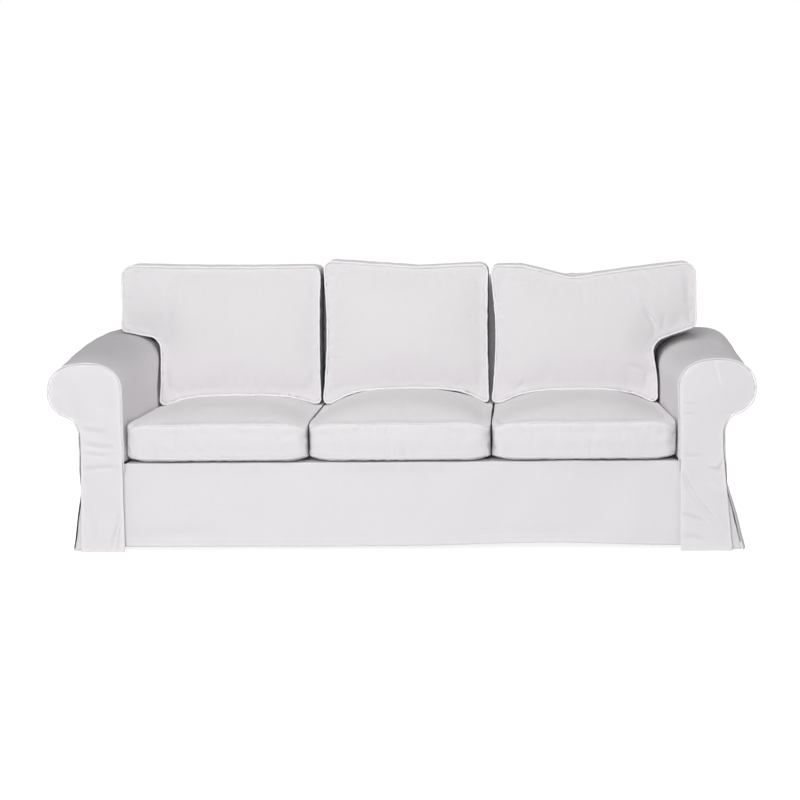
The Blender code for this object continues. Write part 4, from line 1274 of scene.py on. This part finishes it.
def stuffed(piece, seams, face_side, limits):
    """Fills a cushion's cover: an even mesh, then cloth that is held at its piped seams, grows a little and
    swells under the filling's pressure. Its faces may move most, and it stays within the limits' box."""
    remesh = piece.modifiers.new("even_mesh", "REMESH")
    remesh.mode = "VOXEL"
    remesh.voxel_size = VOXEL
    mesh = with_modifiers(piece)
    start = mesh_points(mesh)
    normals = mesh_points(mesh, "normal")
    away = distance_to(start, np.concatenate(seams))[0]
    group = piece.vertex_groups.new(name="held_at_the_piping")
    near, far = HELD_AT_SEAM
    held = np.clip((far - away) / (far - near), 0, 1)
    for share in np.arange(1, HELD_STEPS + 1) / HELD_STEPS:
        ring = np.flatnonzero(np.ceil(held * HELD_STEPS) == round(share * HELD_STEPS))
        group.add(ring.tolist(), float(share), "REPLACE")
    cloth = piece.modifiers.new("filling", "CLOTH")
    cloth.settings.vertex_group_mass = group.name
    cloth.settings.use_pressure = True
    cloth.settings.uniform_pressure_force = SIM_PRESSURE
    cloth.settings.shrink_min = SIM_GROWTH
    cloth.settings.effector_weights.gravity = 0.0
    cloth.settings.quality = 4
    cloth.point_cache.frame_end = SIM_FRAMES
    for frame_number in range(1, SIM_FRAMES + 1):
        bpy.context.scene.frame_set(frame_number)
    mesh = with_modifiers(piece)
    piece.vertex_groups.clear()
    bpy.context.scene.frame_set(1)
    move = mesh_points(mesh) - start
    facing = np.clip(normals @ np.array(face_side), 0, 1)
    most = BAND_CAP + (FACE_CAP - BAND_CAP) * facing
    size = np.linalg.norm(move, axis=1)
    move *= np.minimum(1, most / np.maximum(size, 1e-9))[:, None]
    set_points(mesh, np.clip(start + move, *limits))
    finer = piece.modifiers.new("finer", "SUBSURF")
    finer.levels = finer.render_levels = 1
    return with_modifiers(piece)


def snug_to_piping(piece, seams, clearance, reach):
    """Draws a cushion's cloth out along its seams, until it lies this close to the middle of the piping."""
    mesh = piece.data
    faces = [tuple(face.vertices) for face in mesh.polygons]
    for _ in range(2):
        points, normals = mesh_points(mesh), mesh_points(mesh, "normal")
        surface = BVHTree.FromPolygons(points.tolist(), faces)
        push = np.zeros(len(points))
        for seam in seams:
            clear = np.array([surface.find_nearest(place)[3] for place in seam.tolist()])
            clear = sum(np.roll(clear, shift) for shift in (-2, -1, 0, 1, 2)) / 5
            away, at = distance_to(points, seam)
            near = (clear[at] - clearance) * np.exp(-(((away - clear[at]) / reach) ** 2))
            push = np.where(np.abs(near) > np.abs(push), near, push)
        set_points(mesh, points + normals * push[:, None])


def pressed_flat(piece, lowest, highest):
    """Flattens a cushion's cloth where it meets its neighbours: no point lies beyond these two limits."""
    points = mesh_points(piece.data)
    set_points(piece.data, np.clip(points, lowest(points), highest(points)))


def shaded_side(normals):
    """How much painted shade greys the cloth where it faces the next cushion or an arm."""
    return SHADED_BAND * np.clip(np.abs(normals[:, 0]) * 4 - 3, 0, 1)


def sewn_cover(piece, seams, relief, seed, material, painted_shade):
    """Adds a cushion's puckers along its seams and its creases, then its cut, its rubbed places and its
    painted shade for the cloth. The relief and painted-shade functions give one value for each point from
    its place and normal."""
    mesh = piece.data
    points, normals = mesh_points(mesh), mesh_points(mesh, "normal")
    nearest = np.full(len(points), np.inf)
    folds = relief(points, normals)
    for number, seam in enumerate(seams):
        away, at = distance_to(points, seam)
        nearest = np.minimum(nearest, away)
        steps = np.linalg.norm(np.diff(seam, axis=0, append=seam[:1]), axis=1)
        along = np.concatenate([[0.0], np.cumsum(steps)])[at]
        random = np.random.default_rng(seed + number)
        gathers = np.zeros(len(points))
        for _ in range(5):
            pitch = SEAM_PUCKER["pitch"] * random.uniform(0.7, 2.6)
            gathers += np.sin(2 * np.pi * along / pitch + random.uniform(0, 2 * np.pi))
        turn = 2 * np.pi * along / SEAM_PUCKER["patch"] + random.uniform(0, 2 * np.pi)
        patches = 0.5 + 0.5 * np.sin(turn)
        height = SEAM_PUCKER["height"] * gathers * 0.5 * (0.35 + patches)
        folds += height * np.exp(-away / SEAM_PUCKER["reach"])
    folds *= 1 - np.exp(-nearest / SEAM_PUCKER["flat"])
    set_points(mesh, points + normals * folds[:, None])
    corners = np.empty(len(mesh.loops), np.int32)
    mesh.loops.foreach_get("vertex_index", corners)
    facing = np.empty(len(mesh.polygons) * 3, np.float32)
    mesh.polygons.foreach_get("normal", facing)
    sides = np.empty(len(mesh.polygons), np.int32)
    mesh.polygons.foreach_get("loop_total", sides)
    main = np.repeat(np.abs(facing.reshape(-1, 3)).argmax(axis=1), sides)
    flat = points[corners]
    across = np.where(main == 0, flat[:, 1], flat[:, 0])
    down = np.where(main == 2, flat[:, 1], flat[:, 2])
    rubbed = PIPED_RUB * np.exp(-nearest / SEAM_FADE)
    marked_cloth(mesh, np.stack([across, down], axis=1), rubbed, painted_shade(points, normals), material)


def seat_place(points, depth, rise):
    """Points of a seat cushion's plan, at a share of the way from its top seam down to its bottom one."""
    corners = np.array([(x, SEAT_FRONT_Y) for seat in SEATS.values() for x in seat["front"]])
    nearest = np.linalg.norm(points[:, None] - corners, axis=2).min(axis=1)
    pull = np.exp(-((nearest / SOFT_CORNER["reach"]) ** 2))
    top = SEAT_EDGE_Z - PIPING_REACH - SOFT_CORNER["drop"] * pull
    bottom = SEAT_BASE_Z + PIPING_REACH + SOFT_CORNER["rise"] * pull
    return np.column_stack([points, top + (bottom - top) * depth + (rise if depth < 0.5 else -rise)])


seat_outlines = {
    label: rounded_outline((
        (seat["front"][0], SEAT_FRONT_Y, SEAT_CORNER, seat["front_bow"]),
        (seat["front"][1], SEAT_FRONT_Y, SEAT_CORNER, SEAT_SIDE_BOW),
        (seat["rear"][1], SEAT_REAR_Y, SEAT_CORNER, 0.0),
        (seat["rear"][0], SEAT_REAR_Y, SEAT_CORNER, SEAT_SIDE_BOW),
    ))
    for label, seat in SEATS.items()
}


def seat_lift(places):
    """How far the crowns of the seat cushions lift the feet of the back cushions that rest on them."""
    lift = np.zeros(len(places))
    for label, seat in SEATS.items():
        over = (places > seat["front"][0]) & (places < seat["front"][1])
        line = np.column_stack([places[over], np.full(over.sum(), CONTACT_Y)])
        lift[over] = np.maximum(0, seat["crown"] * crown_share(line, seat_outlines[label]) - LIFT_LOSS)
    return lift


for label, seat in SEATS.items():
    outline = seat_outlines[label]
    middle = np.array((sum(seat["front"] + seat["rear"]) / 4, (SEAT_FRONT_Y + SEAT_REAR_Y) / 2))
    seams = [edge_seam(outline, seat_place, depth) for depth in (0.0, 1.0)]
    cushion = filled_cover(
        f"seat_cover_{label}", outline, middle, seat_place, (seat["crown"] * FILL_SHARE, SEAT_UNDER_CROWN),
        reaches=(CROWN_REACH, UNDER_REACH),
    )
    limits = (
        (
            seat["front"][0] + SEAT_LIMIT["sides_in"], SEAT_FRONT_Y - SEAT_LIMIT["front_out"],
            DECK_Z + SEAT_LIMIT["deck_up"],
        ),
        (
            seat["front"][1] - SEAT_LIMIT["sides_in"], SEAT_REAR_Y - SEAT_LIMIT["rear_in"],
            SEAT_EDGE_Z + seat["crown"] - SEAT_LIMIT["top_in"],
        ),
    )
    stuffed(cushion, seams, (0, 0, 1), limits)
    snug_to_piping(cushion, seams, SEAT_PIPING["clearance"], SEAT_PIPING["reach"])

    def seat_relief(points, normals, creases=SEAT_CREASES[label]):
        forward = np.clip(-normals[:, 1], 0, 1)
        upward = np.clip(normals[:, 2], 0, 1)
        front = crease_relief(points[:, [0, 2]], creases)
        front += uneven_relief(points[:, [0, 2]], 0.10, 0.0006, seed=81)
        return forward * front + upward * uneven_relief(points[:, :2], 0.17, 0.0012, seed=82)

    # Painted shade on the sides of the middle seat cushions that face a neighbour.
    def seat_painted_shade(points, normals):
        return shaded_side(normals) * (np.abs(points[:, 0]) < BETWEEN_CUSHIONS_X)

    def seat_lowest(points, edge=seat["front"][0] + COVER_GAP):
        return np.broadcast_to((edge, -1.0, -1.0), points.shape)

    def seat_highest(points, edge=seat["front"][1] - COVER_GAP):
        ahead = np.clip(FOOT_PRESS["from_y"] - points[:, 1], 0, None)
        foot = BACK_BASE_Z + seat_lift(points[:, 0]) - FOOT_PRESS["clearance"]
        ends = np.full(len(points), edge)
        return np.column_stack([ends, np.ones(len(points)), foot + FOOT_PRESS["slope"] * ahead])

    sewn_cover(cushion, seams, seat_relief, 83, cotton, seat_painted_shade)
    pressed_flat(cushion, seat_lowest, seat_highest)
    sewn_into_place(cushion, "white_cotton", f"seat_cushion_{label}")
    for edge, seam in zip(("top", "base"), seams):
        closed = np.concatenate([seam[SEAM_JOIN:], seam[: SEAM_JOIN + 1]])
        piping = made_along(
            f"seat_edge_{edge}_{label}", [closed], piping_maker,
            {**piping_sizes, **seat_piping_sizes, "seed": 4.0 + seat["front"][0] + (edge == "base")},
        )
        sewn_into_place(piping, "white_piping", f"seat_piping_{edge}_{label}")


# ---- The back cushions -----------------------------------------------------------------------------
# Three more box cushions stand on the seat cushions and lean on the back. The outer two are cut wider at
# the top, so that they reach out over the arms' rolls behind them.

BACK_REAR_GAP = 0.017
BACK_THICKNESS_FOOT = 0.172
BACK_THICKNESS_TOP = 0.140
BACK_CROWN = 0.048
BACK_REAR_CROWN = 0.009
LIFT_HEIGHT = 0.17
LIFT_POWER = 1.5
BACK_PIPING = {"clearance": 0.0036, "reach": 0.010}
BACK_LIMIT = {"sides_in": 0.0012, "top_out": 0.004}
ARM_GAP_TOP_Z = 0.62
BACKS = {
    "left": {
        "middle": (-0.56, 0.72),
        "corners": (
            (-0.824, 0.400, 0.014, 0.0), (-0.286, 0.400, 0.014, -0.004), (-0.291, 0.850, 0.030, -0.004),
            (-0.964, 0.860, 0.040, -0.003), (-0.958, 0.642, 0.022, 0.0), (-0.824, 0.616, 0.045, -0.002),
        ),
    },
    "middle": {
        "middle": (0.0, 0.64),
        "corners": (
            (-0.279, 0.400, 0.014, 0.0), (0.267, 0.400, 0.014, -0.004), (0.266, 0.852, 0.028, 0.0),
            (0.040, 0.843, 0.300, 0.0), (-0.281, 0.868, 0.028, -0.011),
        ),
    },
    "right": {
        "middle": (0.56, 0.72),
        "corners": (
            (0.277, 0.400, 0.014, 0.0), (0.818, 0.400, 0.014, 0.004), (0.802, 0.590, 0.050, 0.0),
            (0.947, 0.638, 0.022, 0.0), (0.948, 0.850, 0.036, 0.0), (0.740, 0.828, 0.300, 0.0),
            (0.538, 0.802, 0.110, 0.0), (0.385, 0.843, 0.080, 0.0), (0.275, 0.845, 0.026, -0.013),
        ),
    },
}
BACK_CREASES = {
    "left": (
        ((-0.950, 0.795), (-0.928, 0.812), (-0.905, 0.842), 8, -3.5),
        ((-0.958, 0.752), (-0.925, 0.742), (-0.885, 0.745), 9, -2.2),
        ((-0.816, 0.560), (-0.800, 0.500), (-0.796, 0.430), 9, -3.0),
        ((-0.865, 0.630), (-0.830, 0.625), (-0.795, 0.590), 8, -2.5),
        ((-0.300, 0.820), (-0.330, 0.800), (-0.370, 0.795), 9, -2.0),
        ((-0.300, 0.430), (-0.335, 0.450), (-0.385, 0.452), 10, -2.2),
    ),
    "middle": (
        ((-0.060, 0.456), (-0.030, 0.464), (0.010, 0.474), 8, -1.6),
        ((-0.262, 0.426), (-0.232, 0.448), (-0.200, 0.466), 8, -3.0),
        ((0.150, 0.464), (0.185, 0.450), (0.216, 0.420), 8, -3.0),
        ((0.232, 0.682), (0.216, 0.682), (0.200, 0.670), 7, -2.0),
        ((0.255, 0.815), (0.240, 0.798), (0.205, 0.790), 8, -2.5),
        ((-0.262, 0.835), (-0.240, 0.808), (-0.200, 0.800), 9, -2.2),
    ),
    "right": (
        ((0.780, 0.690), (0.808, 0.660), (0.826, 0.622), 8, -4.5),
        ((0.842, 0.680), (0.838, 0.650), (0.836, 0.622), 7, -4.0),
        ((0.715, 0.515), (0.785, 0.515), (0.793, 0.462), 9, -7.0),
        ((0.795, 0.450), (0.795, 0.425), (0.794, 0.402), 7, -2.5),
        ((0.325, 0.405), (0.368, 0.440), (0.384, 0.475), 8, -3.0),
        ((0.926, 0.800), (0.912, 0.740), (0.926, 0.675), 10, -2.2),
        ((0.320, 0.830), (0.345, 0.805), (0.390, 0.800), 9, -2.2),
    ),
}


def back_place(points, depth, rise):
    """Points of a back cushion's face, at a share of the way back from its front seam to its rear one."""
    height = points[:, 1]
    climb = (height - BACK_BASE_Z) / (BACK_TOP_Z - BACK_BASE_Z)
    thickness = BACK_THICKNESS_FOOT + (BACK_THICKNESS_TOP - BACK_THICKNESS_FOOT) * climb
    forward = BACK_REAR_GAP + thickness * (1 - depth) + (rise if depth < 0.5 else -rise)
    fade = np.clip(1 - np.clip(height - BACK_BASE_Z, 0, None) / LIFT_HEIGHT, 0, None) ** LIFT_POWER
    lifted = height + seat_lift(points[:, 0]) * fade
    return np.column_stack([points[:, 0], back_line(height) - forward, lifted])


for label, back in BACKS.items():
    outline = rounded_outline(back["corners"])
    seams = [edge_seam(outline, back_place, depth) for depth in (0.0, 1.0)]
    cushion = filled_cover(
        f"back_cover_{label}", outline, np.array(back["middle"]), back_place,
        (BACK_CROWN * FILL_SHARE, BACK_REAR_CROWN),
    )
    corners = np.array(back["corners"])
    limits = (
        (corners[:, 0].min() + BACK_LIMIT["sides_in"], -1.0, 0.0),
        (corners[:, 0].max() - BACK_LIMIT["sides_in"], 1.0, corners[:, 1].max() + BACK_LIMIT["top_out"]),
    )
    stuffed(cushion, seams, (0, -1, 0), limits)
    snug_to_piping(cushion, seams, BACK_PIPING["clearance"], BACK_PIPING["reach"])

    def back_relief(points, normals, creases=BACK_CREASES[label]):
        forward = np.clip(-normals[:, 1], 0, 1)
        folds = crease_relief(points[:, [0, 2]], creases)
        return forward * (folds + uneven_relief(points[:, [0, 2]], 0.16, 0.0011, seed=91))

    # Painted shade on sides that face a neighbouring cushion, and on the lower sides beside the arms.
    def back_painted_shade(points, normals):
        beside = (np.abs(points[:, 0]) < BETWEEN_CUSHIONS_X) | (points[:, 2] < ARM_GAP_TOP_Z)
        return shaded_side(normals) * beside

    def back_lowest(points):
        foot = BACK_BASE_Z + seat_lift(points[:, 0]) + COVER_GAP
        return np.column_stack([np.broadcast_to((-2.0, -2.0), (len(points), 2)), foot])

    sewn_cover(cushion, seams, back_relief, 92, cotton, back_painted_shade)
    pressed_flat(cushion, back_lowest, lambda points: np.full_like(points, 2.0))
    sewn_into_place(cushion, "white_cotton", f"back_cushion_{label}")
    for edge, seam in zip(("front", "rear"), seams):
        closed = np.concatenate([seam[SEAM_JOIN:], seam[: SEAM_JOIN + 1]])
        piping = made_along(
            f"back_edge_{edge}_{label}", [closed], piping_maker,
            {**piping_sizes, "seed": 9.0 + back["middle"][0] + (edge == "rear")},
        )
        sewn_into_place(piping, "white_piping", f"back_piping_{edge}_{label}")


# ---- The stitching ---------------------------------------------------------------------------------
# One row of lockstitch in white thread holds each hem, a little above its fold.

STITCH_PITCH = 0.0042
STITCH_LENGTH = 0.0034
THREAD_RADIUS = 0.00045
THREAD_SHADE = "#F6F4F6"


def spun_thread():
    """Mercerised cotton thread: smoother than the cloth, with a slight gloss and a fine twist."""
    material, tree = bare_material("mercerised_cotton_thread")
    place = add_node(tree, "ShaderNodeTexCoord").outputs["Object"]
    ply = add_node(tree, "ShaderNodeTexNoise", {"Vector": place, "Scale": 1500.0, "Detail": 1.0})
    twist = add_node(tree, "ShaderNodeBump", {"Height": ply.outputs[0], "Strength": 0.4, "Distance": 0.0001})
    tone = add_node(tree, "ShaderNodeMapRange", {"Value": ply.outputs[0], "To Min": 0.55, "To Max": 0.72})
    shader = add_node(tree, "ShaderNodeBsdfPrincipled", {
        "Base Color": linear(THREAD_SHADE), "Roughness": tone.outputs[0], "Normal": twist.outputs[0],
        "Sheen Weight": 0.2,
    })
    add_node(tree, "ShaderNodeOutputMaterial", {"Surface": shader.outputs[0]})
    return material


def stitch_tree():
    """Lays one small rounded stitch after another along each line, turned to follow it."""
    tree = bpy.data.node_groups.new("lockstitch", "GeometryNodeTree")
    tree.interface.new_socket("lines", in_out="INPUT", socket_type="NodeSocketGeometry")
    for size in ("pitch", "length", "radius"):
        tree.interface.new_socket(size, in_out="INPUT", socket_type="NodeSocketFloat")
    tree.interface.new_socket("thread", in_out="INPUT", socket_type="NodeSocketMaterial")
    tree.interface.new_socket("stitches", in_out="OUTPUT", socket_type="NodeSocketGeometry")
    given = add_node(tree, "NodeGroupInput").outputs
    line = add_node(tree, "GeometryNodeMeshToCurve", {"Mesh": given["lines"]})
    even = add_node(tree, "GeometryNodeResampleCurve", {
        0: line.outputs[0], "Length": given["pitch"],
    }, mode="LENGTH")
    turned = add_node(tree, "FunctionNodeAlignRotationToVector", {
        "Vector": add_node(tree, "GeometryNodeInputTangent").outputs[0],
    }, axis="X")
    bead = add_node(tree, "GeometryNodeMeshIcoSphere", {"Radius": 1.0, "Subdivisions": 1})
    half = add_node(tree, "ShaderNodeMath", {0: given["length"], 1: 0.5}, operation="MULTIPLY")
    size = add_node(tree, "ShaderNodeCombineXYZ", {
        0: half.outputs[0], 1: given["radius"], 2: given["radius"],
    })
    laid = add_node(tree, "GeometryNodeInstanceOnPoints", {
        "Points": even.outputs[0], "Instance": bead.outputs[0], "Rotation": turned.outputs[0],
        "Scale": size.outputs[0],
    })
    whole = add_node(tree, "GeometryNodeRealizeInstances", {0: laid.outputs[0]})
    smooth = add_node(tree, "GeometryNodeSetShadeSmooth", {0: whole.outputs[0]})
    threaded = add_node(tree, "GeometryNodeSetMaterial", {0: smooth.outputs[0], "Material": given["thread"]})
    add_node(tree, "NodeGroupOutput", {0: threaded.outputs[0]})
    return tree


stitches = made_along("hem_stitches", seam_lines, stitch_tree(), {
    "pitch": STITCH_PITCH, "length": STITCH_LENGTH, "radius": THREAD_RADIUS, "thread": spun_thread(),
})
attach(stitches, "root")
